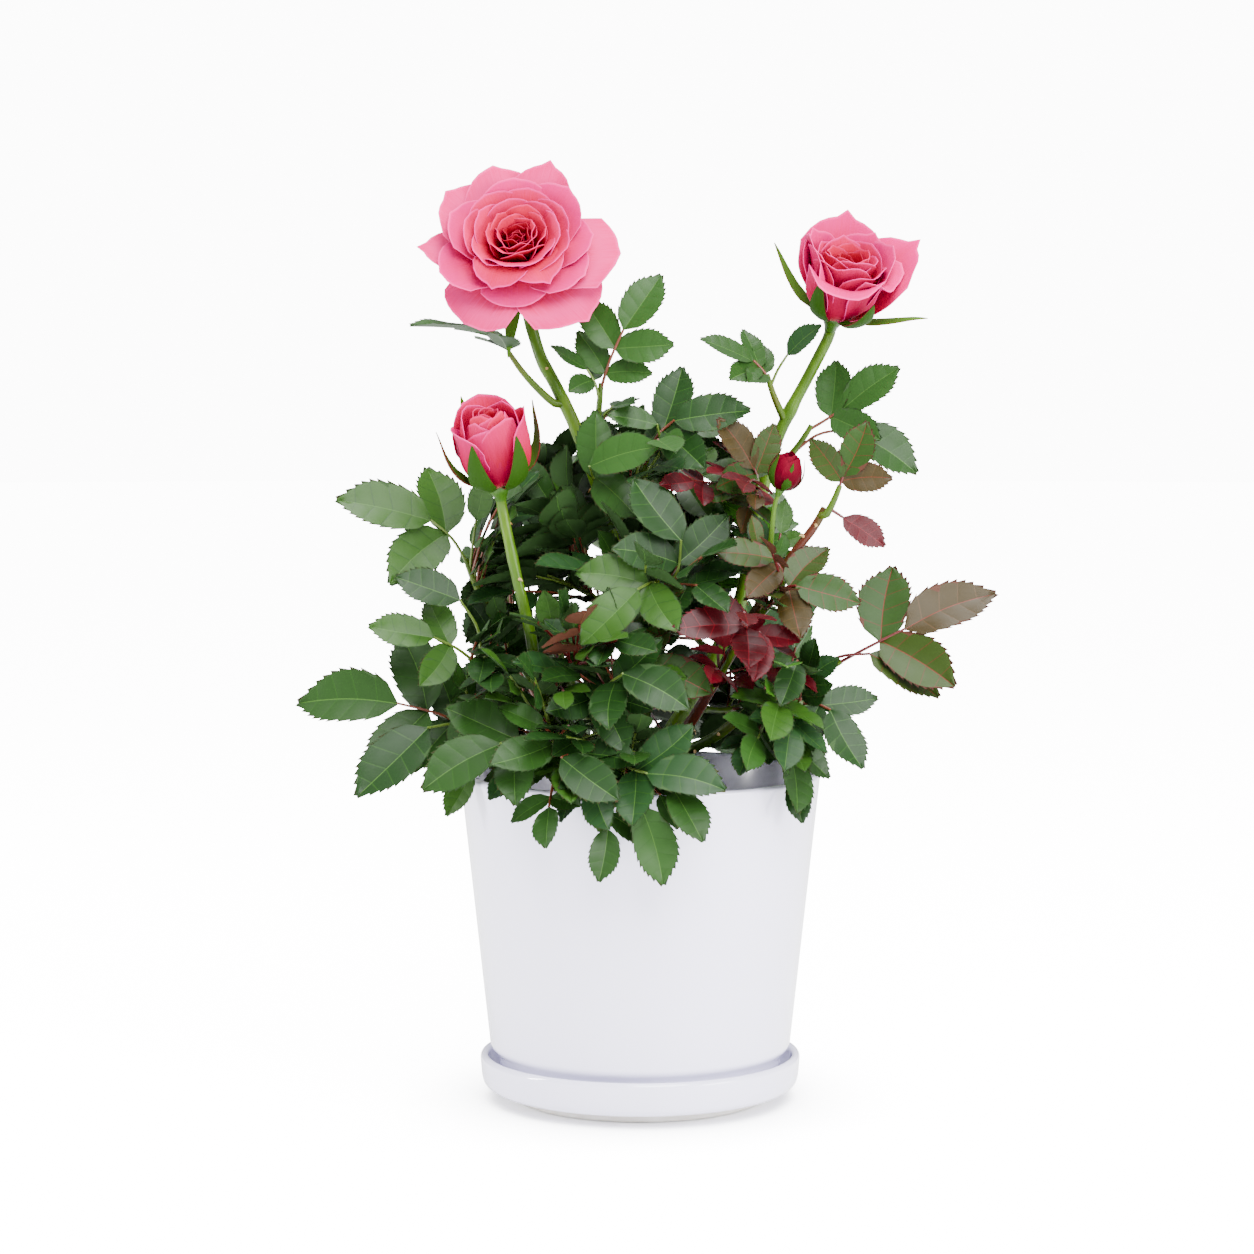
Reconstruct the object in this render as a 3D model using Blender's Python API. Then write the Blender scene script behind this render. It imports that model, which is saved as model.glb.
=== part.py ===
"""A patio rose in a white glazed pot with its saucer.

Lengths are in millimetres until a mesh is made, which is in metres. +Z is up, +X is to the right and
-Y is the front. The origin is the centre of the saucer's flat underside.
"""

import math
import random

import bmesh
import bpy
from mathutils import Matrix, Vector
from mathutils.bvhtree import BVHTree

MM = 0.001
CLEAR = 0.3  # gap that neighbouring solids keep
UP = Vector((0.0, 0.0, 1.0))
VIEWER = Vector((0.0, -0.8, 0.6))  # where most blades on the front turn their faces

# Saucer, pot and soil
FOOT_RADIUS = 45.9
FOOT_HEIGHT = 3.6
SAUCER_RADIUS = 57.9
SAUCER_HEIGHT = 16.5
SAUCER_WALL = 3.0
SAUCER_FLOOR = 6.0
POT_RIM_RADIUS = 65.0
POT_HEIGHT = 118.6
POT_WALL = 3.5
POT_SHOULDER = 18.9  # above it the wall is straight, below it the wall curves in to the base
POT_SHOULDER_RADIUS = 54.2
POT_BASE_RADIUS = 44.0
POT_FLOOR = 6.0
SOIL_TOP = 104.0
SOIL_CROWN = 2.0
TURNED_SIDES = 36
SOIL_SIDES = 32
KNUCKLE_SIDES = 16
ROOM_SIDES = 12

# The knuckle that the canes rise from, and the rings their feet stand on
KNUCKLE_RADIUS = 14.0
KNUCKLE_HEIGHT = 13.0
FOOT_RING = 10.4
INNER_RING = 3.7
FOOT_LIFT = 5.0  # the upright start of a cane
CANE_SIDES = 6
CANE_STEP = 14.0  # length of one straight stretch of a cane

# Leaves
BLADE_RATIO = 0.56  # width of a leaflet for its length
BLADE_WIDEST = 0.42  # share of its length where it is widest
BLADE_THICKEST = 0.16
BLADE_THICK = 0.9
BLADE_FOLD = 0.20  # rise of a blade's edges for its half width
BLADE_DROOP = 0.08  # drop of a blade's tip for its length
STALK_RADIUS = 0.65
STALK_TIP = 0.6
SHOOT_RADIUS = 1.5
SHOOT_TIP = 1.15
END_TRIES = 12
SINK = 0.3  # how far a side leaflet runs past the middle of its stalk
SIDE_ANGLE = 62  # degrees between a side leaflet and its stalk
SIDE_ANGLE_SPREAD = 10
SIDE_TILT_SPREAD = 0.25
SIDE_SIZE_SPREAD = 0.12
SIDE_CUP = 0.2  # turn of a side leaflet's face away from the stalk

# Each pair of side leaflets, from the end of the leaf: how far it stands back from the fork for the end
# leaflet's length, and at most for the stalk's, and its length for the end leaflet's
SIDE_PAIRS = [(0.30, 0.35, 0.88), (0.85, 0.72, 0.72)]

# The growing rule
LAST_SHARE = 0.95  # of a stem, where its last leaf starts
FIRST_SHARE = 0.3  # of a stem, where its first leaf may start
TRIES = 200  # for each leaf the rule adds
STEM_TRIES = 40
STEM_SLACK = 0.25  # shift of a stem's ends that each new try adds
STEM_STEPS = 40
STEM_START = 1.0  # nearest start of a stem to the middle of its cane
STEM_STEP = 0.1  # each next start is this much further out
STEM_BEND = 3  # straight stretches of a stem
SHOWN_TRIES = 60
SHOWN_SHARES = 10  # starts along the stem that are tried before a leaf is shifted
SHOWN_STEP = 0.09  # of the stem, between those starts
SHOWN_SHIFT = 0.8
SHOWN_TURN = 6  # degrees
FACE_MARGIN = 0.05  # what a blade keeps beyond the gap
TEST_SIDES = 6
GOLDEN_ANGLE = math.radians(137.5)
END_SPREAD = (0.1, 0.6)  # how far an end leaf leans from its stem, and any other leaf
LEAF_SPREAD = (0.8, 1.6)
LIFT = 0.25  # how much a new leaf turns up, and outwards
SIZES = (0.82, 1.15)  # of an added leaf for its mass's leaflet length
STALKS = (0.85, 1.25)  # length of its stalk for its end leaflet's
DROOPS = (0.1, 0.6)
FIVE_SHARE = 0.75  # of the added leaves have five leaflets, the others three
CROWN_MIDDLE = Vector((0.0, 0.0, 140.0))
CROWN_REACH = Vector((76.0, 106.0, 114.0))
SOIL_GAP = 3.0  # that leaves keep above the soil
RIM_GAP = 2.0  # that leaves keep round the rim when they hang below the soil's top
LOWEST_LEAF = 60.0

GREEN = (0.10, 0.21, 0.09)
OLIVE = (0.20, 0.22, 0.07)
RED = (0.23, 0.04, 0.04)
CANE_GREEN = (0.22, 0.32, 0.06)

# Each cane: where its foot stands on the knuckle, the places it bends through, and its radius at foot
# and tip. One that bears a bloom runs on to the bloom's hip.
CANES = {
    "cane_open_bloom": (
        (-INNER_RING, 0.0),
        [(-3, 3, 144), (-10, 3, 202), (-24, 3, 244), (-36, 5, 268), (-41, 6.5, 286)],
        (3.0, 2.2),
    ),
    "cane_half_open_bloom": (
        (INNER_RING, 0.0),
        [(20, 4, 147), (36, 3, 180), (42, 1, 212), (49, 1, 238), (60, 2.5, 260)],
        (3.0, 2.15),
    ),
    "cane_bud": (
        (-7.4, -7.4),
        [(-20, -18, 128), (-34, -32, 146), (-38, -42, 170), (-43, -45, 192)],
        (2.6, 1.9),
    ),
    "cane_red_shoot": (
        (7.4, -7.4),
        [(18, -15, 138), (33, -26, 165), (46, -34, 189), (60, -37, 208), (64, -38, 215)],
        (2.3, 1.5),
    ),
    "cane_left": (
        (-FOOT_RING, 0.0),
        [(-24, -4, 134), (-42, -9, 158), (-54, -12, 184)],
        (2.5, 1.6),
    ),
    "cane_right": (
        (FOOT_RING, 0.0),
        [(26, -6, 131), (44, -12, 146), (57, -16, 157)],
        (2.4, 1.6),
    ),
    "cane_front": (
        (0.0, -FOOT_RING),
        [(-1, -24, 127), (-2, -38, 132), (-3, -50, 135)],
        (2.4, 1.6),
    ),
    "cane_back": (
        (0.0, FOOT_RING),
        [(2, 22, 138), (1, 36, 164), (-2, 44, 190)],
        (2.5, 1.5),
    ),
    "cane_back_left": (
        (-7.4, 7.4),
        [(-20, 16, 138), (-32, 25, 164), (-38, 30, 194)],
        (2.5, 1.5),
    ),
    "cane_back_right": (
        (7.4, 7.4),
        [(20, 18, 136), (34, 28, 164), (40, 32, 194)],
        (2.5, 1.5),
    ),
}

# Each mass: its cane, the height where it leaves it, where its own stem ends, the leaves that show
# (fork of the leaf, tip of its end leaflet, leaflets, turn of the blade in degrees), how many more
# leaves the rule adds, their leaflet's length, the colour, and the seed.
MASSES = {
    "foliage_under_open_bloom": (
        "cane_open_bloom", 252, (-47, -1, 269),
        [((-54, -4, 277), (-81, -12, 281), 5, 55)],
        0, 24, GREEN, 1,
    ),
    "foliage_above_centre": (
        "cane_open_bloom", 233, (-14, -2, 258),
        [((-6, -8, 277), (7, -4, 297), 5, 0), ((-19, -5, 263), (-31, -8, 272), 3, 20)],
        0, 22, GREEN, 2,
    ),
    "foliage_centre_high": (
        "cane_open_bloom", 207, (4, -8, 236),
        [
            ((12, -14, 245), (38, -20, 250), 3, 10),
            ((6, -14, 244), (-11, -18, 248), 1, 0),
            ((-18, -20, 229), (6, -28, 237), 3, 15),
        ],
        2, 24, GREEN, 3,
    ),
    "foliage_left_high": (
        "cane_left", 182, (-62, -14, 196),
        [((-74, -20, 210), (-106, -26, 219), 3, 0), ((-58, -20, 210), (-55, -26, 224), 1, 0)],
        1, 24, GREEN, 4,
    ),
    "foliage_left_middle": (
        "cane_left", 152, (-60, -30, 162),
        [((-72, -38, 170), (-94, -42, 175), 3, 0), ((-63, -36, 183), (-85, -36, 192), 1, 0)],
        2, 24, GREEN, 5,
    ),
    "foliage_left_low": (
        "cane_left", 133, (-62, -28, 138),
        [((-85, -38, 147), (-121, -30, 148), 5, 0), ((-74, -44, 139), (-98, -60, 119), 1, 0)],
        2, 27, GREEN, 6,
    ),
    "foliage_front_left": (
        "cane_bud", 130, (-34, -54, 137),
        [
            ((-48, -66, 136), (-74, -74, 122), 3, 0),
            ((-30, -66, 136), (-50, -80, 132), 1, 0),
            ((-33, -60, 141), (-48, -63, 149), 1, 0),
        ],
        1, 24, GREEN, 7,
    ),
    "foliage_front_low": (
        "cane_front", 134, (-6, -64, 128),
        [
            ((-27, -72, 132), (-8, -84, 120), 3, 0),
            ((2, -75, 127), (28, -84, 124), 3, 0),
            ((0, -77, 116), (8, -81, 90), 1, 0),
            ((-14, -72, 119), (-13, -76, 106), 1, 10),
        ],
        1, 22, GREEN, 8,
    ),
    "foliage_front_middle": (
        "cane_front", 128, (-10, -54, 150),
        [((-16, -59, 152), (-5, -70, 134), 3, 0), ((-6, -68, 158), (16, -78, 148), 3, 0)],
        1, 24, GREEN, 9,
    ),
    "foliage_side_shoot": (
        "cane_bud", 148, (-22, -47, 163),
        [((2, -50, 162), (24, -58, 153), 3, 0)],
        1, 22, OLIVE, 10,
    ),
    "foliage_centre": (
        "cane_open_bloom", 158, (6, -32, 190),
        [
            ((-1, -54, 188), (-21, -64, 171), 3, 0),
            ((14, -40, 204), (-2, -34, 226), 3, 0),
        ],
        3, 26, GREEN, 11,
    ),
    "foliage_red_low": (
        "cane_red_shoot", 152, (35, -48, 174),
        [((35, -57, 176), (11, -62, 176), 3, 10), ((40, -58, 175), (38, -69, 160), 3, 0)],
        0, 20, RED, 12,
    ),
    "foliage_red_middle": (
        "cane_red_shoot", 178, (50, -42, 190),
        [((46, -44, 198), (26, -48, 201), 3, 0), ((55, -44, 191), (77, -48, 186), 3, 0)],
        0, 20, OLIVE, 13,
    ),
    "foliage_red_top": (
        "cane_red_shoot", 214, (69, -40, 223),
        [((70, -41, 226), (78, -42, 245), 3, 10), ((70, -42, 212), (84, -48, 203), 1, 0)],
        0, 17, RED, 14,
    ),
    "foliage_red_left": (
        "cane_half_open_bloom", 216, (41, -14, 226),
        [((40, -20, 228), (28, -22, 246), 3, 0), ((36, -24, 222), (22, -30, 219), 1, 0)],
        0, 20, RED, 15,
    ),
    "foliage_under_half_open_bloom": (
        "cane_half_open_bloom", 246, (45, -8, 261),
        [((40, -10, 266), (22, -14, 275), 5, 20), ((52, -10, 268), (63, -14, 279), 1, 0)],
        0, 20, GREEN, 16,
    ),
    "foliage_right_high": (
        "cane_half_open_bloom", 228, (61, -4, 243),
        [((72, -6, 249), (91, -10, 264), 3, 0), ((73, -9, 244), (98, -16, 230), 1, 0)],
        0, 22, GREEN, 17,
    ),
    "foliage_far_right": (
        "cane_right", 157, (71, -21, 160),
        [((93, -26, 172), (125, -22, 186), 3, 0), ((82, -26, 163), (106, -34, 150), 1, 0)],
        0, 24, OLIVE, 18,
    ),
    "foliage_right_low": (
        "cane_right", 146, (56, -36, 147),
        [
            ((66, -41, 145), (77, -53, 127), 3, 0),
            ((50, -44, 144), (61, -50, 135), 1, 0),
            ((54, -50, 163), (48, -60, 149), 1, 0),
        ],
        2, 24, GREEN, 19,
    ),
    "foliage_left_back": ("cane_left", 140, (-48, 22, 148), [], 5, 28, GREEN, 20),
    "foliage_right_back": ("cane_right", 138, (48, 18, 146), [], 5, 28, GREEN, 21),
    "foliage_back_left_low": ("cane_back_left", 140, (-46, 50, 144), [], 5, 28, GREEN, 22),
    "foliage_back_left_middle": ("cane_back_left", 166, (-54, 20, 184), [], 4, 27, GREEN, 23),
    "foliage_back_left_high": ("cane_back_left", 194, (-36, 36, 210), [], 4, 26, GREEN, 24),
    "foliage_back_low": ("cane_back", 142, (4, 62, 138), [], 5, 28, GREEN, 25),
    "foliage_back_high": ("cane_back", 190, (-2, 52, 206), [], 3, 27, GREEN, 26),
    "foliage_back_right_low": ("cane_back_right", 140, (46, 52, 142), [], 5, 28, GREEN, 27),
    "foliage_back_right_high": ("cane_back_right", 194, (40, 38, 210), [], 3, 26, GREEN, 28),
    "foliage_inner_left": ("cane_open_bloom", 176, (-30, 2, 196), [], 5, 26, GREEN, 29),
    "foliage_inner_back": ("cane_open_bloom", 222, (-10, 28, 240), [], 4, 25, GREEN, 30),
    "foliage_inner_right": ("cane_half_open_bloom", 188, (46, 14, 196), [], 4, 26, GREEN, 31),
    "foliage_inner_middle": ("cane_half_open_bloom", 160, (12, 22, 178), [], 5, 26, GREEN, 32),
}

# Each bloom: the place its hip stands on, the way it faces, the turn of its first petal in degrees, its
# rings of petals from the outside in, the profile of the closed heart in them (radius, height above
# the hip's foot), the profile of the room it takes, the way its sepals stand (degrees from the axis), a
# sepal's length, and the size of it all for those lengths. A ring is: petals, length, width, degrees from
# the axis at root and tip, flare of the rim in degrees, height of the root, how far it hugs the axis (0
# flat, 1 wrapped), and a turn of the ring in degrees.
HIP = [(1.9, 0.0), (3.5, 1.8), (3.9, 4.0), (3.3, 6.5)]
OPEN_HEART = [(7.0, 10.0), (12.5, 16.0), (14.5, 22.0), (9.0, 25.0), (4.5, 23.0), (0.0, 22.0)]
HALF_OPEN_HEART = [(6.5, 11.0), (11.0, 19.0), (12.0, 27.0), (10.5, 33.0), (5.0, 32.0), (0.0, 30.0)]
BUD_HEART = [(8.5, 9.5), (11.6, 16.0), (11.4, 23.0), (9.2, 30.0), (5.0, 32.5), (0.0, 31.5)]
OPEN_ROOM = [(0, 0), (4.5, 0), (4.5, 5), (37, 8), (39, 14), (30, 26), (15, 28), (0, 28)]
HALF_OPEN_ROOM = [(0, 0), (4.5, 0), (4.5, 5), (15, 11), (22, 20), (27, 31), (24, 37), (0, 37)]
BUD_ROOM = [(0, 0), (4.5, 0), (4.5, 5), (10, 9), (13.5, 16), (13, 24), (10, 32), (0, 34)]
BLOOMS = {
    "bloom_open": (
        (-42.6, 3.3, 296.4), (-0.05, -0.77, 0.63), 20,
        [(6, 35, 35, 62, 98, 10, 5.6, 0.05, 0), (5, 30, 30, 42, 68, 14, 6.6, 0.3, 30)],
        OPEN_HEART, OPEN_ROOM, 115, 23, 1.0,
    ),
    "bloom_half_open": (
        (67.9, 1.0, 277.4), (0.20, -0.46, 0.86), 0,
        [(5, 34, 31, 44, 22, 62, 5.6, 0.75, 0)],
        HALF_OPEN_HEART, HALF_OPEN_ROOM, 80, 21, 1.0,
    ),
    "bloom_bud": (
        (-48.3, -46.4, 218.9), (-0.12, -0.36, 0.92), 40, [],
        BUD_HEART, BUD_ROOM, 37, 22, 1.0,
    ),
    "bud_closed": (
        (47.6, -39.0, 219.4), (0.28, -0.16, 0.92), 10, [],
        BUD_HEART, BUD_ROOM, 16, 20, 0.45,
    ),
}
BEARERS = {
    "cane_open_bloom": "bloom_open",
    "cane_half_open_bloom": "bloom_half_open",
    "cane_bud": "bloom_bud",
}
NECK = 4.0  # the last straight stretch of a cane under its bloom
BUD_STALK_HEIGHT = 190.0  # where the closed bud's stalk leaves its cane
BUD_STALK_RADII = (1.3, 0.85)
PETAL_THICK = 0.9
HEART_PETALS = 4
HEART_COLUMNS = 3
HEART_STEP = 0.16
PETAL_ROWS = 2
PETAL_COLUMNS = 3
CLAW = 0.26  # width of a petal at its root for its full width
FULL_WIDTH = 0.72  # of a petal's length, where it reaches its full width
SHOULDER = 0.26  # how much shorter a petal is at its sides than at its middle
FLARE_FROM = 0.65  # of a petal's length, where its rim starts to flare
PETAL_LAP = 0.10  # one edge lies over the next petal and the other under the last
SEPAL_RATIO = 0.26
PINK = (0.90, 0.20, 0.30)


def drop_everything():
    for old in list(bpy.data.objects):
        bpy.data.objects.remove(old, do_unlink=True)


def material(name, colour, roughness):
    mat = bpy.data.materials.new(name)
    mat.use_nodes = True
    shader = mat.node_tree.nodes["Principled BSDF"]
    shader.inputs["Base Color"].default_value = (*colour, 1.0)
    shader.inputs["Roughness"].default_value = roughness
    mat.diffuse_color = (*colour, 1.0)
    return mat


def mesh_object(name, verts, faces, mat=None):
    """An object whose mesh has these places in millimetres, with its faces pointing out."""
    mesh = bpy.data.meshes.new(name)
    mesh.from_pydata([Vector(v) * MM for v in verts], [], faces)
    bm = bmesh.new()
    bm.from_mesh(mesh)
    bmesh.ops.recalc_face_normals(bm, faces=bm.faces)
    if bm.calc_volume(signed=True) < 0:
        bmesh.ops.reverse_faces(bm, faces=bm.faces)
    bm.to_mesh(mesh)
    bm.free()
    obj = bpy.data.objects.new(name, mesh)
    bpy.context.scene.collection.objects.link(obj)
    if mat:
        mesh.materials.append(mat)
    return obj


# Turned pieces


def arc(centre, radius, start, end, steps):
    """Places on an arc in the turning plane, from one angle to the other in degrees."""
    angles = [math.radians(start + (end - start) * k / steps) for k in range(steps + 1)]
    return [(centre[0] + radius * math.cos(a), centre[1] + radius * math.sin(a)) for a in angles]


def turned_solid(profile, sides):
    """A closed profile of (radius, height) spun round the Z axis, with one vertex where it meets the axis:
    its vertices and faces."""
    verts, rings, faces = [], [], []
    for radius, height in profile:
        around = sides if radius > 0 else 1
        rings.append(list(range(len(verts), len(verts) + around)))
        for k in range(around):
            a = math.tau * k / sides
            verts.append(Vector((radius * math.cos(a), radius * math.sin(a), height)))
    for low, high in zip(rings, rings[1:]):
        for k in range(sides):
            n = (k + 1) % sides
            corners = [low[k % len(low)], low[n % len(low)], high[n % len(high)], high[k % len(high)]]
            corners = tuple(dict.fromkeys(corners))
            if len(corners) > 2:
                faces.append(corners)
    return verts, faces


def turned(name, solid, mat):
    obj = mesh_object(name, *solid, mat)
    obj.data.shade_smooth()
    obj.data.set_sharp_from_angle(angle=math.radians(40))


def saucer_profile():
    outer, rim = SAUCER_RADIUS, SAUCER_HEIGHT
    inner = outer - SAUCER_WALL
    return [
        (0.0, 0.0),
        (FOOT_RADIUS - 0.4, 0.0),
        (FOOT_RADIUS + 0.3, FOOT_HEIGHT),
        (outer - 3.4, FOOT_HEIGHT + 0.5),
        (outer - 1.2, FOOT_HEIGHT + 2.2),
        (outer - 0.5, FOOT_HEIGHT + 5.0),
        (outer, rim - 2.0),
        *arc((outer - SAUCER_WALL / 2, rim - SAUCER_WALL / 2), SAUCER_WALL / 2, 10, 170, 4),
        (inner, rim - 2.6),
        (inner - 0.3, SAUCER_FLOOR + 5.2),
        (inner - 1.6, SAUCER_FLOOR + 2.4),
        (inner - 4.6, SAUCER_FLOOR + 0.3),
        (inner - 7.0, SAUCER_FLOOR),
        (0.0, SAUCER_FLOOR),
    ]


def pot_radius(height):
    """Outer radius of the pot's straight wall at a height."""
    share = (height - POT_SHOULDER) / (POT_HEIGHT - POT_SHOULDER)
    return POT_SHOULDER_RADIUS + (POT_RIM_RADIUS - POT_SHOULDER_RADIUS) * share


def pot_profile():
    base = SAUCER_FLOOR + CLEAR
    inside = base + POT_FLOOR
    lip = POT_WALL / 2
    return [
        (0.0, base),
        (POT_BASE_RADIUS, base),
        (POT_BASE_RADIUS + 3.6, base + 0.9),
        (POT_BASE_RADIUS + 7.0, base + 3.6),
        (POT_SHOULDER_RADIUS - 1.0, base + 7.6),
        (POT_SHOULDER_RADIUS, POT_SHOULDER),
        (pot_radius(POT_HEIGHT - lip), POT_HEIGHT - lip),
        *arc((POT_RIM_RADIUS - lip, POT_HEIGHT - lip), lip, 30, 180, 5),
        (pot_radius(inside + 6) - POT_WALL, inside + 6),
        (pot_radius(inside + 6) - POT_WALL - 6, inside),
        (0.0, inside),
    ]


def soil_profile():
    low = SAUCER_FLOOR + POT_FLOOR + 2 * CLEAR
    wall = POT_WALL + CLEAR
    return [
        (0.0, low),
        (pot_radius(low + 6) - wall - 6.4, low),
        (pot_radius(low + 6) - wall - 0.3, low + 6.4),
        (pot_radius(SOIL_TOP) - wall - 0.1, SOIL_TOP - SOIL_CROWN),
        (0.72 * POT_SHOULDER_RADIUS, SOIL_TOP - 0.6),
        (KNUCKLE_RADIUS + 2.0, SOIL_TOP),
        (0.0, SOIL_TOP),
    ]


def knuckle_profile():
    low, high = SOIL_TOP + CLEAR, SOIL_TOP + KNUCKLE_HEIGHT
    return [
        (0.0, low),
        (0.75 * KNUCKLE_RADIUS, low),
        (0.95 * KNUCKLE_RADIUS, low + 0.35 * KNUCKLE_HEIGHT),
        (KNUCKLE_RADIUS, low + 0.75 * KNUCKLE_HEIGHT),
        (0.96 * KNUCKLE_RADIUS, high),
        (0.0, high),
    ]


# Curves and limbs


def smooth_path(places, step):
    """Evenly spaced places on a smooth curve through the given ones."""
    ends = [places[0] * 2 - places[1], *places, places[-1] * 2 - places[-2]]
    path = []
    for a, b, c, d in zip(ends, ends[1:], ends[2:], ends[3:]):
        count = max(1, round((c - b).length / step))
        for k in range(count):
            t = k / count
            path.append(
                0.5 * ((2 * b) + (c - a) * t + (2 * a - 5 * b + 4 * c - d) * t * t
                       + (3 * b - a - 3 * c + d) * t * t * t)
            )
    path.append(places[-1])
    return path


def directions(path):
    """The heading at each place of a path."""
    out = []
    for k in range(len(path)):
        before = path[max(0, k - 1)]
        after = path[min(len(path) - 1, k + 1)]
        out.append((after - before).normalized())
    return out


def side_of(direction):
    """A unit vector square to a direction."""
    other = Vector((1.0, 0.0, 0.0)) if abs(direction.x) < 0.8 else Vector((0.0, 1.0, 0.0))
    return direction.cross(other).normalized()


def tube(path, radii, sides):
    """A closed tapering tube along a path: its vertices and faces."""
    heads = directions(path)
    side = side_of(heads[0])
    verts, faces = [], []
    for place, head, radius in zip(path, heads, radii):
        side = (side - head * side.dot(head)).normalized()
        across = head.cross(side)
        for k in range(sides):
            a = math.tau * k / sides
            verts.append(place + radius * (math.cos(a) * side + math.sin(a) * across))
    for ring in range(len(path) - 1):
        for k in range(sides):
            n = (k + 1) % sides
            low = ring * sides
            faces.append((low + k, low + n, low + sides + n, low + sides + k))
    faces.append(tuple(range(sides))[::-1])
    faces.append(tuple(range(len(verts) - sides, len(verts))))
    return verts, faces


def tapered(path, first, last):
    count = len(path) - 1
    return [first + (last - first) * k / count for k in range(count + 1)]


def along(path, share):
    """The place at a share of a path's length, and the heading there."""
    lengths = [(b - a).length for a, b in zip(path, path[1:])]
    left = max(0.0, min(1.0, share)) * sum(lengths)
    for a, b, length in zip(path, path[1:], lengths):
        if left <= length:
            return a.lerp(b, left / length), (b - a).normalized()
        left -= length
    return path[-1].copy(), (path[-1] - path[-2]).normalized()


def at_height(path, height):
    """The place where a rising path reaches a height, and the heading there."""
    for a, b in zip(path, path[1:]):
        if a.z <= height <= b.z:
            return a.lerp(b, (height - a.z) / (b.z - a.z)), (b - a).normalized()
    return path[-1].copy(), (path[-1] - path[-2]).normalized()


def bent(start, end, arrival, steps):
    """A path from start to end that arrives in a direction."""
    middle = end - arrival * (0.5 * (end - start).length)
    path = []
    for k in range(steps + 1):
        t = k / steps
        path.append(start.lerp(middle, t).lerp(middle.lerp(end, t), t))
    return path


# Leaves


def blade_corners(root, tip, normal, grow=0.0, ratio=BLADE_RATIO):
    """A folded blade's root, right edge, tip, left edge, and its thickest place above and below."""
    length = (tip - root).length
    head = (tip - root).normalized()
    normal = (normal - head * normal.dot(head)).normalized()
    across = head.cross(normal)
    half = 0.5 * ratio * length
    thick = 0.5 * BLADE_THICK + grow

    def place(share, side, rise):
        drop = BLADE_DROOP * length * share * share
        return root + head * (share * length) + across * side + normal * (rise - drop)

    return [
        place(0.0, 0.0, 0.0),
        place(BLADE_WIDEST, half + grow, BLADE_FOLD * half),
        place(1.0, 0.0, 0.0),
        place(BLADE_WIDEST, -half - grow, BLADE_FOLD * half),
        place(BLADE_THICKEST, 0.0, thick),
        place(BLADE_THICKEST, 0.0, -thick),
    ]


def leaflet(root, tip, normal, grow=0.0, ratio=BLADE_RATIO):
    """A folded blade with a pointed tip: its vertices and faces. grow thickens it all over, for the test
    of what it would touch."""
    verts = blade_corners(root, tip, normal, grow, ratio)
    faces = []
    for k in range(4):
        n = (k + 1) % 4
        faces.append((k, n, 4))
        faces.append((n, k, 5))
    return verts, faces


def stalk_with_blade(stalk, tip, normal):
    """A three-sided stalk that runs on into its end leaflet: its vertices and faces."""
    verts = []
    for place, head, radius in zip(stalk, directions(stalk), tapered(stalk, STALK_RADIUS, STALK_TIP)):
        top = (normal - head * normal.dot(head)).normalized()
        across = head.cross(top)
        for angle in (0, 120, 240):
            a = math.radians(angle)
            verts.append(place + radius * (math.cos(a) * top - math.sin(a) * across))
    faces = [(2, 1, 0)]
    for low in range(0, len(verts) - 3, 3):
        for k in range(3):
            n = (k + 1) % 3
            faces.append((low + k, low + n, low + 3 + n, low + 3 + k))
    up, left, right = range(len(verts) - 3, len(verts))
    first = len(verts)
    _, *corners = blade_corners(stalk[-1], tip, normal)
    verts += corners
    edge, end, other, above, below = range(first, first + 5)
    faces += [(up, left, other), (up, other, above), (up, above, edge), (up, edge, right)]
    faces += [(left, right, below), (left, below, other), (right, edge, below)]
    faces += [(above, other, end), (edge, above, end), (other, below, end), (below, edge, end)]
    return verts, faces


def compound_leaf(base, fork, tip, normal, leaflets, spare):
    """The stalk of one leaf and its leaflets, the end one first. Each is (root, tip, normal, side)."""
    head = (tip - fork).normalized()
    length = (tip - fork).length
    run = fork - base
    arrival = (head + run.normalized()).normalized()
    stalk = bent(base, fork, arrival, 2)
    blades = [(fork, tip, normal, 0)]
    reach = run.length
    for for_length, for_stalk, share in SIDE_PAIRS[: (leaflets - 1) // 2]:
        back = min(for_length * length, for_stalk * reach)
        root, heading = along(stalk, 1.0 - back / max(reach, 1e-6))
        mean = (heading + head).normalized()
        for side in (-1, 1):
            angle = math.radians(SIDE_ANGLE + SIDE_ANGLE_SPREAD * (spare.random() - 0.5))
            tilt = SIDE_TILT_SPREAD * (spare.random() - 0.5)
            square = mean.cross(normal).normalized() * side
            out = (math.cos(angle) * mean + math.sin(angle) * square + tilt * normal).normalized()
            size = share * length * (1 + SIDE_SIZE_SPREAD * (spare.random() - 0.5))
            face = (normal + SIDE_CUP * out).normalized()
            blades.append((root - out * SINK, root + out * size, face, side))
    return stalk, blades


def facing(head, turn):
    """A blade's normal: towards the viewer and up, square to its heading, then turned about it."""
    normal = VIEWER - head * VIEWER.dot(head)
    if normal.length < 0.2:
        normal = UP - head * UP.dot(head)
    return Matrix.Rotation(math.radians(turn), 3, head) @ normal.normalized()


# Blooms


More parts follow.
